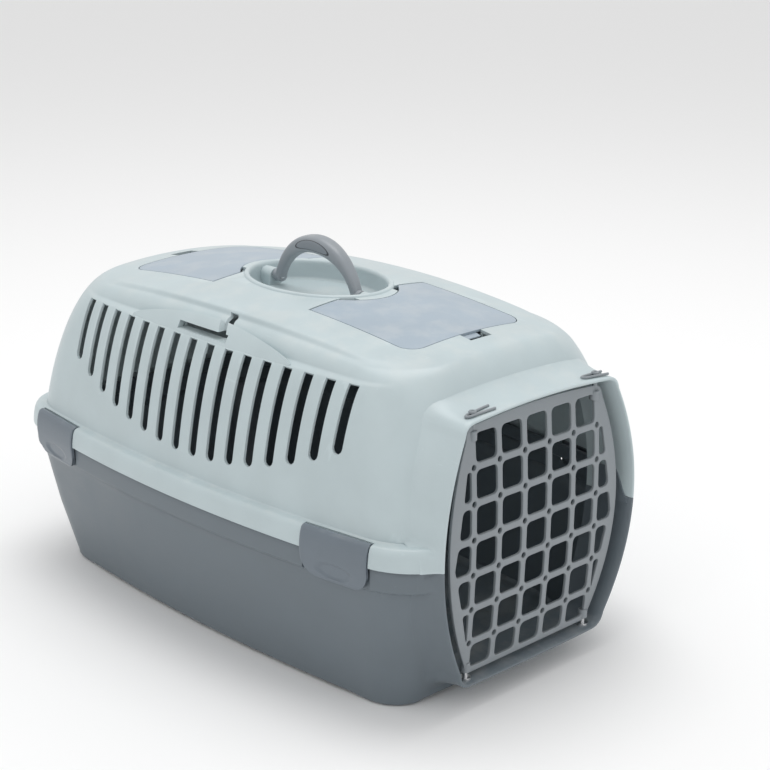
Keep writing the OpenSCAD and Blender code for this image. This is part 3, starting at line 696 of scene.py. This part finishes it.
def makeTongues():
    # on each side a tongue of the lower collar stands up inside the upper one, its edge an S curve; its dark plastic
    # also serves as painted shade on the upper collar's inside
    parts = []
    y = np.linspace(tongue["front"], tongue["back"], 26)
    edge = tongue["low"] + tongue["rise"] * smoothStep(tongue["riseFrom"], tongue["riseTo"], y)
    for s in (1, -1):
        rows = []
        for inset in tongue["insets"]:
            for f in np.linspace(0, 1, 8):
                z = tongue["foot"] + (edge - tongue["foot"]) * f
                pull = (y - tongue["lip"]) / (collar["back"] - tongue["lip"])
                x = barrel(z, inset) * (1 - pull * (1 - collar["shrink"]))
                rows.append(np.c_[s * x, y, z])
        pts = np.array(rows)
        order = np.concatenate([pts[:8], pts[8:][::-1]])
        parts.append((order.reshape(-1, 3), hoopFaces(*order.shape[:2])))
    return makePiece("collarTonguesPaintedShade", *joinParts(parts), "base", "shell_dark", 40, True)


paintedShadeTongues = makeTongues()


# handle's cup

def makeCup():
    # an ellipse swept with the profile (distance out from the cup's edge, height under the crown or over the floor)
    count = 96
    e = ellipse(1, 1, count)
    rows = []

    def ring(out, z):
        # the ellipse grown by out, at the height z
        rows.append(np.c_[e[:, 0] * (cup["a"] + out), e[:, 1] * (cup["b"] + out), z])

    lip = cup["lip"] - 0.05
    for out, drop in ((lip, 3.0), (lip, 0.5), (lip - 0.3, 0.12), (lip - 0.8, 0.0), (lip - 1.5, 0.25),
                      (lip - 2.1, 1.1), (0.0, 2.6), (-0.2, 5.0)):
        ring(out, crownHeight(e[:, 0] * (cup["a"] + out), e[:, 1] * (cup["b"] + out), drop))
    for f in np.linspace(0, 1, 6)[1:]:
        ring(-0.2 - 0.8 * f, np.full(count, 326 - 6.5 * f))
    for a in np.radians(np.linspace(0, 90, 8)[1:]):
        ring(-1.0 - 5.5 * (1 - math.cos(a)), np.full(count, 319.5 - 5.4 * math.sin(a)))
    flatA, flatB = cup["a"] - cup["round"], cup["b"] - cup["round"]
    for s in (0.75, 0.5, 0.25):
        rows.append(np.c_[e[:, 0] * flatA * s, e[:, 1] * flatB * s, np.full(count, cup["floor"])])
    last = (len(rows) - 1) * count
    faces = gridFaces(len(rows), count)[:, ::-1].tolist() + [list(range(last, last + count))]
    piece = makePiece("handleCup", np.concatenate(rows), faces, "upper_shell", "shell_light", 50)
    thicken(piece, cup["wall"])
    bakeModifiers(piece, 50)
    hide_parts("handle_cup")
    return piece


block = dict(halfW=8.0, foot=314.5, roundZ=325.0, near=64.2, far=80.2)


def boss(side):
    # round-topped block at one end of the cup; it carries a handle pin
    a = np.radians(np.linspace(0, 180, 25))
    w = block["halfW"]
    top = np.c_[w * np.cos(a), block["roundZ"] + w * np.sin(a)]
    outline = np.concatenate([[[w, block["foot"]]], top, [[-w, block["foot"]]]])
    v, f = prism(outline, block["near"], block["far"], "y")
    return v * [1, side, 1], f


cupPiece = makeCup()
bosses = makePiece("cupBosses", *joinParts([boss(1), boss(-1)]), "upper_shell", "shell_light", 30, True)
bevelEdges(bosses, 0.9, 3, 40)
print("cup ready")


# storage lids

def makeLid(name, side, node):
    # plate between the lid's two edges, lying in the crown; the snap tab under its outer edge is made by makeSnap
    x = lidColumns(0)
    inner, outer = lidEdge(x, 0)
    rows = 20
    f = np.linspace(0, 1, rows)[:, None]
    y = inner[None, :] * (1 - f) + outer[None, :] * f
    xs = np.broadcast_to(x, y.shape)
    z = crownHeight(xs, y, 0.05)
    points = np.stack([xs, y * side, z], axis=-1).reshape(-1, 3)
    quads = gridFaces(rows, len(x), closedU=False)
    if side < 0:
        quads = quads[:, ::-1]
    piece = makePiece(name, points, quads, node, "lid_blue", 40)
    thicken(piece, lid["thick"])
    bevelEdges(piece, 0.7, 3, 45)
    bakeModifiers(piece, 50)
    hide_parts(node)
    return piece


def makeSnap(name, side, bodyName):
    # wedge that catches under the shell's edge
    a = np.array([[198, -2.7], [206.2, -2.7], [211.6, -3.4], [211.8, -4.8], [206, -6.0], [198, -4.8]])
    base = crownHeight(0, a[:, 0])
    v, f = prism(np.c_[a[:, 0], base + a[:, 1]], -9.5, 9.5, "x")
    piece = makePiece(name, v * [1, side, 1], f, bodyName, "lid_blue", 30, True)
    bevelEdges(piece, 0.5, 2, 30)
    return piece


lidRear = makeLid("rearLid", 1, "rear_lid")
lidFront = makeLid("frontLid", -1, "front_lid")
snapRear = makeSnap("rearLidSnap", 1, "rear_lid")
snapFront = makeSnap("frontLidSnap", -1, "front_lid")
print("lids ready")


# handle

handle = dict(radius=60.2, midZ=310.8, spread=74, foot=58.0, axisZ=327.0)


def gripHalf(a):
    # half sizes of the section, across and along the radius, at the angle a from the top
    c = np.cos(1.2 * a) ** 2
    return 6 + 3.6 * c, 4.6 + 4.4 * c


def makeHandle():
    # rounded-square section carried along an arc, with an eye at each foot
    a = np.radians(np.linspace(-handle["spread"], handle["spread"], 65))[:, None]
    t = turns(36)[None, :]
    gx, gr = gripHalf(a)
    power = 2 / 2.9
    cx = np.sign(np.cos(t)) * np.abs(np.cos(t)) ** power
    cr = np.sign(np.sin(t)) * np.abs(np.sin(t)) ** power
    r = handle["radius"] - 2 + gr * cr
    points = np.stack([gx * cx, r * np.sin(a), handle["midZ"] + r * np.cos(a)], axis=-1)
    eye = [(3.1, -5.0), (5.4, -5.0), (6.1, -4.7), (6.4, -4.0), (6.4, 4.0), (6.1, 4.7), (5.4, 5.0), (3.1, 5.0)]
    parts = [(points.reshape(-1, 3), rodFaces(65, 36, flip=True))]
    for s in (1, -1):
        parts.append(tube(eye, (0, s * handle["foot"], handle["axisZ"]), order=alongY))
    piece = makePiece("handle", *joinParts(parts), "handle", "handle_grey", 45, True)
    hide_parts("handle")
    return piece


inlay = dict(halfL=26.0, halfH=5.2, faceShare=0.86)


def makeInlay():
    # a thin oval pad on each side of the grip, following its side face
    parts = []
    t = turns(60)
    scales = np.array([1.0, 1.0, 0.96, 0.88, 0.7, 0.45, 0.2])
    lifts = np.array([-0.9, -0.15, 0.12, 0.22, 0.26, 0.28, 0.28])
    for s in (1, -1):
        rows = []
        for k, lift in zip(scales, lifts):
            y = inlay["halfL"] * k * np.cos(t)
            dr = inlay["halfH"] * k * np.sin(t)
            a = y / (handle["radius"] - 2)
            gx, gr = gripHalf(a)
            side = gx * (1 - np.abs(dr / gr) ** 2.9) ** (1 / 2.9)
            r = handle["radius"] - 2 + dr
            rows.append(np.c_[s * (side + lift), r * np.sin(a), handle["midZ"] + r * np.cos(a)])
        parts.append((np.concatenate(rows), rodFaces(len(rows), 60)))
    piece = makePiece("handleInlays", *joinParts(parts), "handle", "pad_dark", 40, True)
    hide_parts("handle_pad")
    return piece


grip = makeHandle()
inlays = makeInlay()
print("handle ready")


# door

door = dict(halfW=115.5, low=34.0, top=277.0, pitch=33.8, bar=6.4, thick=3.2, face=-296.4, sweep=0.00043,
            frameW=5.6, cellR=6.0, holeR=2.0, pivotX=83.5, pivotY=-288.5, easing=0.75, leastCell=60.0)
door["midZ"] = (door["low"] + door["top"]) / 2 - 5.2


def doorHalf(z, inset):
    # half width of the door at height z
    return door["halfW"] - 0.0021 * (z - collar["midZ"]) ** 2 - inset


def doorOutline(inset):
    # barrel sides, round corners and a slightly arched top, as (x, z)
    z0, z1, r = door["low"] + 10, door["top"] - 16, 10
    w0, w1 = doorHalf(z0, inset), doorHalf(z1, inset)
    z = np.linspace(z0, z1, 24)
    a = np.radians(np.linspace(0, 90, 8))[1:]
    right = np.c_[doorHalf(z, inset), z]
    topCorner = np.c_[w1 - r + r * np.cos(a), z1 + (12 - inset) * np.sin(a)]
    x = np.linspace(w1 - r, -(w1 - r), 15)[1:-1]
    top = np.c_[x, z1 + 12 - inset + 4 * (1 - (x / (w1 - r)) ** 2)]
    lowCorner = np.c_[w0 - r + r * np.cos(a), z0 - (10 - inset) * np.sin(a)][::-1]
    upper = np.concatenate([right, topCorner, top, topCorner[::-1] * [-1, 1], right[::-1] * [-1, 1]])
    return np.concatenate([lowCorner, upper, lowCorner[::-1] * [-1, 1]])


def clipConvex(shape, bound):
    # the part of a polygon inside a convex, counter-clockwise one
    out = list(map(tuple, shape))
    for p, q in zip(bound, np.roll(bound, -1, axis=0)):
        d = q - p
        side = [d[0] * (v[1] - p[1]) - d[1] * (v[0] - p[0]) for v in out]
        kept = []
        for i, v in enumerate(out):
            j = (i + 1) % len(out)
            if side[i] >= 0:
                kept.append(v)
            if side[i] * side[j] < 0:
                f = side[i] / (side[i] - side[j])
                kept.append((v[0] + (out[j][0] - v[0]) * f, v[1] + (out[j][1] - v[1]) * f))
        out = kept
        if len(out) < 3:
            return np.zeros((0, 2))
    return np.array(out)


def roundCorners(shape, radius, steps=6):
    # each corner becomes a curve between points at most the radius from it along both sides
    keep = np.linalg.norm(shape - np.roll(shape, 1, axis=0), axis=1) > 0.4
    shape = shape[keep]
    n = len(shape)
    out = []
    for i in range(n):
        before, here, after = shape[i - 1], shape[i], shape[(i + 1) % n]
        u, v = before - here, after - here
        lu, lv = np.linalg.norm(u), np.linalg.norm(v)
        turn = math.pi - math.acos(np.clip(u @ v / (lu * lv), -1, 1))
        d = min(radius * max(math.tan(turn / 2), 0.05), lu * 0.48, lv * 0.48)
        p, q = here + u / lu * d, here + v / lv * d
        t = np.linspace(0, 1, steps)[:, None]
        out.append(p * (1 - t) ** 2 + here * 2 * t * (1 - t) + q * t * t)
    return np.concatenate(out)


def addLoop(curve, points):
    # a closed line through the points in a flat curve
    spline = curve.splines.new("POLY")
    spline.points.add(len(points) - 1)
    spline.points.foreach_set("co", np.c_[points * mm, np.zeros(len(points)), np.ones(len(points))].ravel())
    spline.use_cyclic_u = True


def area(p):
    # half the sum of the cross products of neighbouring corners
    return 0.5 * np.sum(p[:, 0] * np.roll(p[:, 1], -1) - np.roll(p[:, 0], -1) * p[:, 1])


def makeDoor():
    # a flat plate with its cells cut out, its edges rounded, then bent to the door's cylinder
    easing = door["easing"]
    curve = bpy.data.curves.new("door", "CURVE")
    curve.dimensions = "2D"
    curve.fill_mode = "BOTH"
    curve.extrude = (door["thick"] / 2 - easing) * mm
    curve.bevel_depth = easing * mm
    curve.bevel_resolution = 2
    curve.offset = -easing * mm
    addLoop(curve, doorOutline(0))
    bound = doorOutline(door["frameW"])
    half = (door["pitch"] - door["bar"]) / 2
    square = np.array([[-half, -half], [half, -half], [half, half], [-half, half]])
    for i in range(-3, 4):
        for j in range(-3, 4):
            cell = clipConvex(square + [i * door["pitch"], door["midZ"] + j * door["pitch"]], bound)
            if len(cell) and area(cell) > door["leastCell"]:
                addLoop(curve, roundCorners(cell, door["cellR"])[::-1])
    a = turns(16)
    for i in np.arange(-2.5, 3):
        for j in np.arange(-2.5, 3):
            centre = [i * door["pitch"], door["midZ"] + j * door["pitch"]]
            addLoop(curve, (np.c_[np.cos(a), np.sin(a)] * (door["holeR"] + easing) + centre)[::-1])
    flat = addObject("flatDoor", curve)
    mesh = bpy.data.meshes.new_from_object(flat.evaluated_get(bpy.context.evaluated_depsgraph_get()))
    bpy.data.objects.remove(flat)
    co = np.empty(len(mesh.vertices) * 3)
    mesh.vertices.foreach_get("co", co)
    co = co.reshape(-1, 3) / mm
    x, z, depth = co[:, 0], co[:, 1], co[:, 2]
    y = door["face"] + door["sweep"] * (z - 150) ** 2 + door["thick"] / 2 - depth
    mesh.vertices.foreach_set("co", (np.c_[x, y, z] * mm).ravel())
    mesh.update()
    piece = addObject("doorGrille", mesh)
    mergeAndRecalc(piece, 0.00001, 35)
    addModifier(piece, "shade", "WEIGHTED_NORMAL", keep_sharp=True)
    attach(piece, "door")
    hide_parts("door")
    return piece


def makeEyes():
    # a ring at each corner of the door, round its pivot
    parts = []
    for s in (1, -1):
        for z in (door["low"] + 2, door["top"] - 18):
            profile = [(2.5, 0.3), (2.8, 0), (4.2, 0), (4.6, 0.4), (4.6, 8.6), (4.2, 9), (2.8, 9), (2.5, 8.7)]
            parts.append(tube(profile, (s * door["pivotX"], door["pivotY"], z)))
    return makePiece("doorEyes", *joinParts(parts), "door", "grille_grey", 40, True)


doorPiece = makeDoor()
eyes = makeEyes()
print("door ready", len(doorPiece.data.polygons))


# door levers

def rodAlong(path, radius, sides=14):
    # round rod through the points, its section square to the path; closed at both ends
    p = np.asarray(path, float)
    t = np.gradient(p, axis=0)
    t /= np.linalg.norm(t, axis=1)[:, None]
    up = np.tile([0.0, 0.0, 1.0], (len(p), 1))
    side = np.cross(t, up)
    side /= np.linalg.norm(side, axis=1)[:, None]
    up = np.cross(side, t)
    a = turns(sides)
    pts = p[:, None] + radius * (np.cos(a)[None, :, None] * side[:, None] + np.sin(a)[None, :, None] * up[:, None])
    return pts.reshape(-1, 3), rodFaces(len(p), sides)


def collarTop(x, y):
    # height of the upper collar's top face at x, y
    return 285 - 4 * (x / 105) ** 2 + 0.5 * np.clip((y + 299) / 12, 0, 1)


lever = dict(tip=3.4, wide=10.0, length=33.0, rod=1.25, midX=78.0, startX=15.5, y=-290.0, squeeze=0.62, lift=0.9)
pivotPin = [(0.01, 262), (2.0, 262), (2.4, 262.6), (2.4, 284), (3.8, 284.2), (3.8, 285.4), (3.2, 286.2),
            (0.01, 286.2)]


def makeLever(name, side, bodyName, node):
    # a hairpin of round rod lying on the collar, its tip inwards, and the pivot pin that it carries
    tip, wide, length = lever["tip"], lever["wide"], lever["length"]
    t = np.linspace(-1, 1, 41)
    x = length * (np.abs(t) ** 1.35)
    y = np.sign(t) * (tip * np.minimum(1, np.sqrt(x / 4)) + (wide - tip) / 2 * x / length)
    cx = side * lever["midX"] - lever["startX"]
    px, py = cx + x, lever["y"] + y * lever["squeeze"]
    loop = np.c_[px, py, collarTop(px, py) + lever["lift"]]
    parts = [rodAlong(loop, lever["rod"])]
    parts.append(tube(pivotPin, (side * door["pivotX"], door["pivotY"], 0), 32))
    piece = makePiece(name, *joinParts(parts), bodyName, "grille_grey", 40, True)
    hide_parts(node)
    return piece


leverLeft = makeLever("leverLeft", -1, "lever_left", "door_lever_left")
leverRight = makeLever("leverRight", 1, "lever_right", "door_lever_right")
print("levers ready")


# side latches

latch = dict(low=126.4, corner=20.0, recess=1.7, recessZ=138.0, recessY=23.0, recessH=8.5,
             bore=1.75, eye=3.3, eyeReach=38)


def latchSurface():
    # plate as a closed strip of profile points (out, up), stretched along the latch and rounded at its lower corners
    z = np.r_[173.2, np.linspace(172.6, 130, 44), 128.0, 126.9, 126.5]
    out = np.interp(-z, [-173.2, -171.6, -167, -160, -152, -142, -134, -128.4, -126.5],
                    [-4.4, -2.4, -0.6, 0.6, 0.9, -0.3, -1.9, -3.1, -4.6])
    smooth = np.convolve(np.r_[[out[0]] * 3, out, [out[-1]] * 3], np.ones(7) / 7, mode="valid")
    out = np.where((z < 170) & (z > 130), smooth, out)
    backZ = np.array([126.6, 128.5, 133, 143, 152, 160, 167, 170])
    backOut = np.array([-5.6, -6.1, -6.1, -3.6, -2.6, -2.7, -5.0, -7.6])
    zs, outs = np.r_[z, backZ], np.r_[out, backOut]
    low = latch["low"] + latch["corner"]
    half = latchPlace["width"] / 2 - 0.2
    w = np.where(zs > low, half, half - latch["corner"]
                 + np.sqrt(np.maximum(0, latch["corner"] ** 2 - (low - zs) ** 2)))
    s = np.sin(np.linspace(-np.pi / 2, np.pi / 2, 61)) * 0.5 + np.linspace(-0.5, 0.5, 61)
    y = w[:, None] * s[None, :]
    zz = np.broadcast_to(zs[:, None], y.shape)
    front = (np.arange(len(zs)) < len(z))[:, None]
    oval = ((y / latch["recessY"]) ** 2 + ((zz - latch["recessZ"]) / latch["recessH"]) ** 2)
    dish = smoothStep(0, 0.55, 1 - oval) * latch["recess"] * front
    edge = (1 - smoothStep(0, 1.6, half - np.abs(y))) * 0.5 * front
    return np.stack([outs[:, None] - dish - edge, y, zz], axis=-1)


def makeLatch(name, sx, sy):
    # the plate with the long eye behind its upper edge, set in one of the four corners
    grid = latchSurface()
    bore, rim, reach = latch["bore"], latch["eye"], latch["eyeReach"]
    eye = tube([(bore, -reach), (rim, -reach), (rim, reach), (bore, reach)],
               (latchPlace["pinIn"], 0, latchPlace["pinZ"]), 28, alongY)
    v, f = joinParts([(grid.reshape(-1, 3), hoopFaces(*grid.shape[:2])), eye])
    node = "latch_" + ("rear" if sy > 0 else "front") + ("_right" if sx > 0 else "_left")
    piece = makePiece(name, atLatch(v, sx, sy), f, node, "latch_grey", 45, True)
    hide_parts(node)
    return piece


latches = [makeLatch("frontLeftLatch", -1, -1), makeLatch("rearLeftLatch", -1, 1),
           makeLatch("frontRightLatch", 1, -1), makeLatch("rearRightLatch", 1, 1)]
print("latches ready")


# materials

def newGroup(name, inputs, outputs):
    # an empty shader group with (name, kind, default) inputs and (name, kind) outputs
    group = bpy.data.node_groups.new(name, "ShaderNodeTree")
    for label, kind, value in inputs:
        socket = group.interface.new_socket(name=label, in_out="INPUT", socket_type=kind)
        socket.default_value = value
    for label, kind in outputs:
        group.interface.new_socket(name=label, in_out="OUTPUT", socket_type=kind)
    return group, group.nodes.new("NodeGroupInput"), group.nodes.new("NodeGroupOutput")


def addNode(tree, kind, **values):
    # a node with its settings given by name
    node = tree.nodes.new(kind)
    for key, value in values.items():
        setattr(node, key, value)
    return node


def noise(tree, coords, scale, detail=3.0, roughness=0.5):
    # cloudy noise from 0 to 1
    node = addNode(tree, "ShaderNodeTexNoise")
    node.inputs["Scale"].default_value = scale
    node.inputs["Detail"].default_value = detail
    node.inputs["Roughness"].default_value = roughness
    tree.links.new(coords, node.inputs["Vector"])
    return node.outputs["Fac"]


def ramp(tree, value, low, high, toLow=0.0, toHigh=1.0):
    # a smooth step of the value from low to high
    node = addNode(tree, "ShaderNodeMapRange", interpolation_type="SMOOTHSTEP")
    for key, number in (("From Min", low), ("From Max", high), ("To Min", toLow), ("To Max", toHigh)):
        node.inputs[key].default_value = number
    tree.links.new(value, node.inputs["Value"])
    return node.outputs["Result"]


def combine(tree, operation, a, b):
    # one sum, product or larger value of two numbers or sockets
    node = addNode(tree, "ShaderNodeMath", operation=operation)
    for socket, value in zip(node.inputs, (a, b)):
        if isinstance(value, (int, float)):
            socket.default_value = value
        else:
            tree.links.new(value, socket)
    return node.outputs[0]


def blendColour(tree, factor, a, b):
    # a where the factor is 0 and b where it is 1
    node = addNode(tree, "ShaderNodeMix", data_type="RGBA", blend_type="MIX")
    for socket, value in zip((node.inputs[0], node.inputs[6], node.inputs[7]), (factor, a, b)):
        if isinstance(value, (int, float, tuple)):
            socket.default_value = value
        else:
            tree.links.new(value, socket)
    return node.outputs[2]


def grainGroup():
    # fine moulding grain: a bump from two sizes of noise and a slow wander of tone
    group, source, sink = newGroup("mouldingGrain",
                                   [("Grain Size", "NodeSocketFloat", 0.001), ("Depth", "NodeSocketFloat", 0.25)],
                                   [("Tone", "NodeSocketFloat"), ("Normal", "NodeSocketVector")])
    coords = addNode(group, "ShaderNodeTexCoord").outputs["Object"]
    scaled = addNode(group, "ShaderNodeVectorMath", operation="SCALE")
    group.links.new(coords, scaled.inputs[0])
    group.links.new(combine(group, "DIVIDE", 1.0, source.outputs["Grain Size"]), scaled.inputs["Scale"])
    fine = noise(group, scaled.outputs[0], 1.0, 2.0, 0.6)
    wide = noise(group, coords, 22.0, 3.0)
    height = combine(group, "ADD", combine(group, "MULTIPLY", fine, 0.7), combine(group, "MULTIPLY", wide, 0.25))
    bump = addNode(group, "ShaderNodeBump")
    bump.inputs["Distance"].default_value = 0.00025
    group.links.new(source.outputs["Depth"], bump.inputs["Strength"])
    group.links.new(height, bump.inputs["Height"])
    group.links.new(wide, sink.inputs["Tone"])
    group.links.new(bump.outputs[0], sink.inputs["Normal"])
    return group


def maskGroup(name, masksOf):
    # a group whose Mask is its Amount times two masks that are worked out from the object's coordinates
    group, source, sink = newGroup(name, [("Amount", "NodeSocketFloat", 0.3)], [("Mask", "NodeSocketFloat")])
    coords = addNode(group, "ShaderNodeTexCoord").outputs["Object"]
    both = combine(group, "MULTIPLY", *masksOf(group, coords))
    group.links.new(combine(group, "MULTIPLY", both, source.outputs["Amount"]), sink.inputs["Mask"])
    return group


def dustMasks(group, coords):
    # pale dust that settles where the surface faces up, broken up by noise
    split = addNode(group, "ShaderNodeSeparateXYZ")
    group.links.new(addNode(group, "ShaderNodeNewGeometry").outputs["Normal"], split.inputs[0])
    facing = ramp(group, split.outputs["Z"], 0.45, 1.0)
    return facing, ramp(group, noise(group, coords, 34.0, 5.0, 0.6), 0.42, 0.68)


def scuffMasks(group, coords):
    # short scratches lying along the body: stretched noise kept above a threshold
    masks = []
    for turn, scale in ((0.35, (14, 260, 340)), (-0.5, (330, 18, 260))):
        mapping = addNode(group, "ShaderNodeMapping")
        mapping.inputs["Rotation"].default_value = (turn * 0.4, turn, turn)
        mapping.inputs["Scale"].default_value = scale
        group.links.new(coords, mapping.inputs["Vector"])
        masks.append(ramp(group, noise(group, mapping.outputs[0], 1.0, 2.0), 0.70, 0.78))
    return combine(group, "MAXIMUM", *masks), ramp(group, noise(group, coords, 12.0, 2.0), 0.45, 0.62)


def wearMasks(group, coords):
    # rubbed edges: the surface's outward creases, broken up by noise
    crease = addNode(group, "ShaderNodeNewGeometry").outputs["Pointiness"]
    return ramp(group, crease, 0.52, 0.60), noise(group, coords, 90.0, 3.0)


groups = dict(grain=grainGroup(), dust=maskGroup("settledDust", dustMasks),
              scuff=maskGroup("lightScuffs", scuffMasks), wear=maskGroup("rubbedEdges", wearMasks))
dustColour = (0.72, 0.71, 0.67, 1.0)


def shade(colour, gain, lift=0.0):
    # the colour made lighter or darker, with full alpha
    return tuple(min(1.0, c * gain + lift) for c in colour) + (1.0,)


def makeMaterial(name, colour, rough, grain=0.0011, depth=0.25, dust=0.25, scuff=0.25, wear=0.35, metal=0.0):
    # colour wanders by tone, then takes dust, scuffs and rubbed edges; roughness follows the tone and the dust and
    # scuff masks
    material = bpy.data.materials.new(name)
    material.use_nodes = True
    tree = material.node_tree
    shader = tree.nodes["Principled BSDF"]

    def place(key, **values):
        # one of the groups with its own values
        node = addNode(tree, "ShaderNodeGroup", node_tree=groups[key])
        for label, value in values.items():
            node.inputs[label.replace("_", " ")].default_value = value
        return node.outputs

    skin = place("grain", Grain_Size=grain, Depth=depth)
    dustMask, scuffMask, wearMask = (place(key, Amount=amount)["Mask"] for key, amount in
                                     (("dust", dust), ("scuff", scuff), ("wear", wear)))
    paint = blendColour(tree, ramp(tree, skin["Tone"], 0.25, 0.75), shade(colour, 0.97), shade(colour, 1.03))
    paint = blendColour(tree, dustMask, paint, dustColour)
    paint = blendColour(tree, scuffMask, paint, shade(colour, 1.5, 0.03))
    paint = blendColour(tree, wearMask, paint, shade(colour, 1.35, 0.02))
    tree.links.new(paint, shader.inputs["Base Color"])
    level = combine(tree, "ADD", ramp(tree, skin["Tone"], 0.25, 0.75, rough - 0.05, rough + 0.06),
                    combine(tree, "MULTIPLY", combine(tree, "ADD", dustMask, scuffMask), 0.25))
    tree.links.new(level, shader.inputs["Roughness"])
    tree.links.new(skin["Normal"], shader.inputs["Normal"])
    shader.inputs["Metallic"].default_value = metal
    return material


finishes = dict(
    shellLight=makeMaterial("lightShellPlastic", (0.475, 0.555, 0.575), 0.34, dust=0.16, scuff=0.16),
    shellDark=makeMaterial("darkShellPlastic", (0.132, 0.160, 0.182), 0.36, dust=0.12, scuff=0.14, wear=0.25),
    lidBlue=makeMaterial("lidPlastic", (0.345, 0.415, 0.48), 0.36, dust=0.16, scuff=0.2),
    grille=makeMaterial("grillePlastic", (0.235, 0.26, 0.28), 0.33, grain=0.0009, dust=0.08, scuff=0.1, wear=0.3),
    latch=makeMaterial("latchPlastic", (0.145, 0.175, 0.205), 0.33, dust=0.1, scuff=0.2),
    handle=makeMaterial("handlePlastic", (0.255, 0.28, 0.305), 0.35, dust=0.12, scuff=0.15),
    inlay=makeMaterial("inlayRubber", (0.045, 0.052, 0.06), 0.6, grain=0.0006, depth=0.5, dust=0.2, scuff=0.1),
    inlayFace=makeMaterial("inlayFace", (0.20, 0.225, 0.25), 0.5, grain=0.0006, depth=0.4, dust=0.1, scuff=0.1),
    pin=makeMaterial("pinSteel", (0.62, 0.63, 0.64), 0.28, grain=0.0004, depth=0.15, dust=0.05, scuff=0.3, metal=1.0),
)


def dress(finish, *things):
    # one finish on several pieces or nodes
    for thing in things:
        thing.data.materials.clear()
        thing.data.materials.append(finishes[finish])


dress("shellLight", shellLight, pads, upCollar, cupPiece, bosses, nodes["front_pan"], nodes["rear_pan"])
# the tongues' dark plastic is the lower collar's own and also painted shade inside the light upper collar
dress("shellDark", shellDark, lowCollar, paintedShadeTongues)
dress("lidBlue", lidRear, lidFront, snapRear, snapFront)
dress("grille", doorPiece, eyes, leverLeft, leverRight)
dress("latch", *latches)
dress("handle", grip)
dress("inlay", inlays)
inlays.data.materials.append(finishes["inlayFace"])
centres = np.empty(len(inlays.data.polygons) * 3)
inlays.data.polygons.foreach_get("center", centres)
along, high = centres.reshape(-1, 3)[:, 1] / mm, centres.reshape(-1, 3)[:, 2] / mm - handle["midZ"]
radial = np.hypot(along, high) - (handle["radius"] - 2)
middle = np.hypot(along / inlay["halfL"], radial / inlay["halfH"]) < inlay["faceShare"]
inlays.data.polygons.foreach_set("material_index", middle.astype(np.int32))
dress("pin", nodes["latch_pins"], nodes["lid_pins"], nodes["handle_pins"], nodes["door_pins"])
print("materials ready")


# floor, light and camera

studio = dict(floorSize=30.0, floorTone=(0.92, 0.92, 0.92), skyTone=(1.0, 1.0, 1.0), sky=0.80)
lamps = [("key", (0.3, 0.2, 2.6), (0, 0, 0.2), 1.8, 24), ("side", (-2.6, -0.4, 1.5), (0, 0, 0.2), 1.6, 4),
         ("front", (0.9, -2.6, 1.3), (0, 0, 0.15), 1.4, 4)]
view = dict(turn=-44.547, lift=19.113, roll=0.626, place=(-1.1362, -1.2445, 0.7669), lens=81.29,
            shiftX=0.0063, shiftY=0.0480)


def makeFloor():
    # one pale square under everything
    half = studio["floorSize"] / 2
    mesh = bpy.data.meshes.new("floor")
    mesh.from_pydata([(-half, -half, 0), (half, -half, 0), (half, half, 0), (-half, half, 0)], [], [(0, 1, 2, 3)])
    floor = addObject("floor", mesh)
    material = bpy.data.materials.new("paleFloor")
    material.use_nodes = True
    shader = material.node_tree.nodes["Principled BSDF"]
    shader.inputs["Base Color"].default_value = (*studio["floorTone"], 1)
    shader.inputs["Roughness"].default_value = 0.9
    mesh.materials.append(material)


def areaLight(name, place, target, size, power):
    # a round lamp that faces its target
    data = bpy.data.lights.new(name, "AREA")
    data.shape = "DISK"
    data.size = size
    data.energy = power
    lamp = addObject(name, data)
    lamp.location = place
    lamp.rotation_euler = (Vector(target) - Vector(place)).to_track_quat("-Z", "Y").to_euler()


def makeStudio():
    # an even sky and the lamps
    world = bpy.data.worlds.new("studio")
    world.use_nodes = True
    sky = world.node_tree.nodes["Background"]
    sky.inputs["Color"].default_value = (*studio["skyTone"], 1)
    sky.inputs["Strength"].default_value = studio["sky"]
    bpy.context.scene.world = world
    for lamp in lamps:
        areaLight(*lamp)
    bpy.context.scene.view_settings.view_transform = "Standard"


def makeCamera():
    # looks along -back, turned about that line by the roll
    turn, lift, roll = (math.radians(view[key]) for key in ("turn", "lift", "roll"))
    right = Vector((math.cos(turn), math.sin(turn), 0))
    back = Vector((math.sin(turn) * math.cos(lift), -math.cos(turn) * math.cos(lift), math.sin(lift)))
    up = back.cross(right)
    across = right * math.cos(roll) + up * math.sin(roll)
    above = up * math.cos(roll) - right * math.sin(roll)
    data = bpy.data.cameras.new("camera")
    data.lens, data.sensor_width = view["lens"], 36
    data.shift_x, data.shift_y = view["shiftX"], view["shiftY"]
    camera = addObject("camera", data)
    place = Vector(view["place"])
    camera.matrix_world = Matrix((
        (across.x, above.x, back.x, place.x), (across.y, above.y, back.y, place.y),
        (across.z, above.z, back.z, place.z), (0, 0, 0, 1)))
    bpy.context.scene.camera = camera


makeFloor()
makeStudio()
makeCamera()
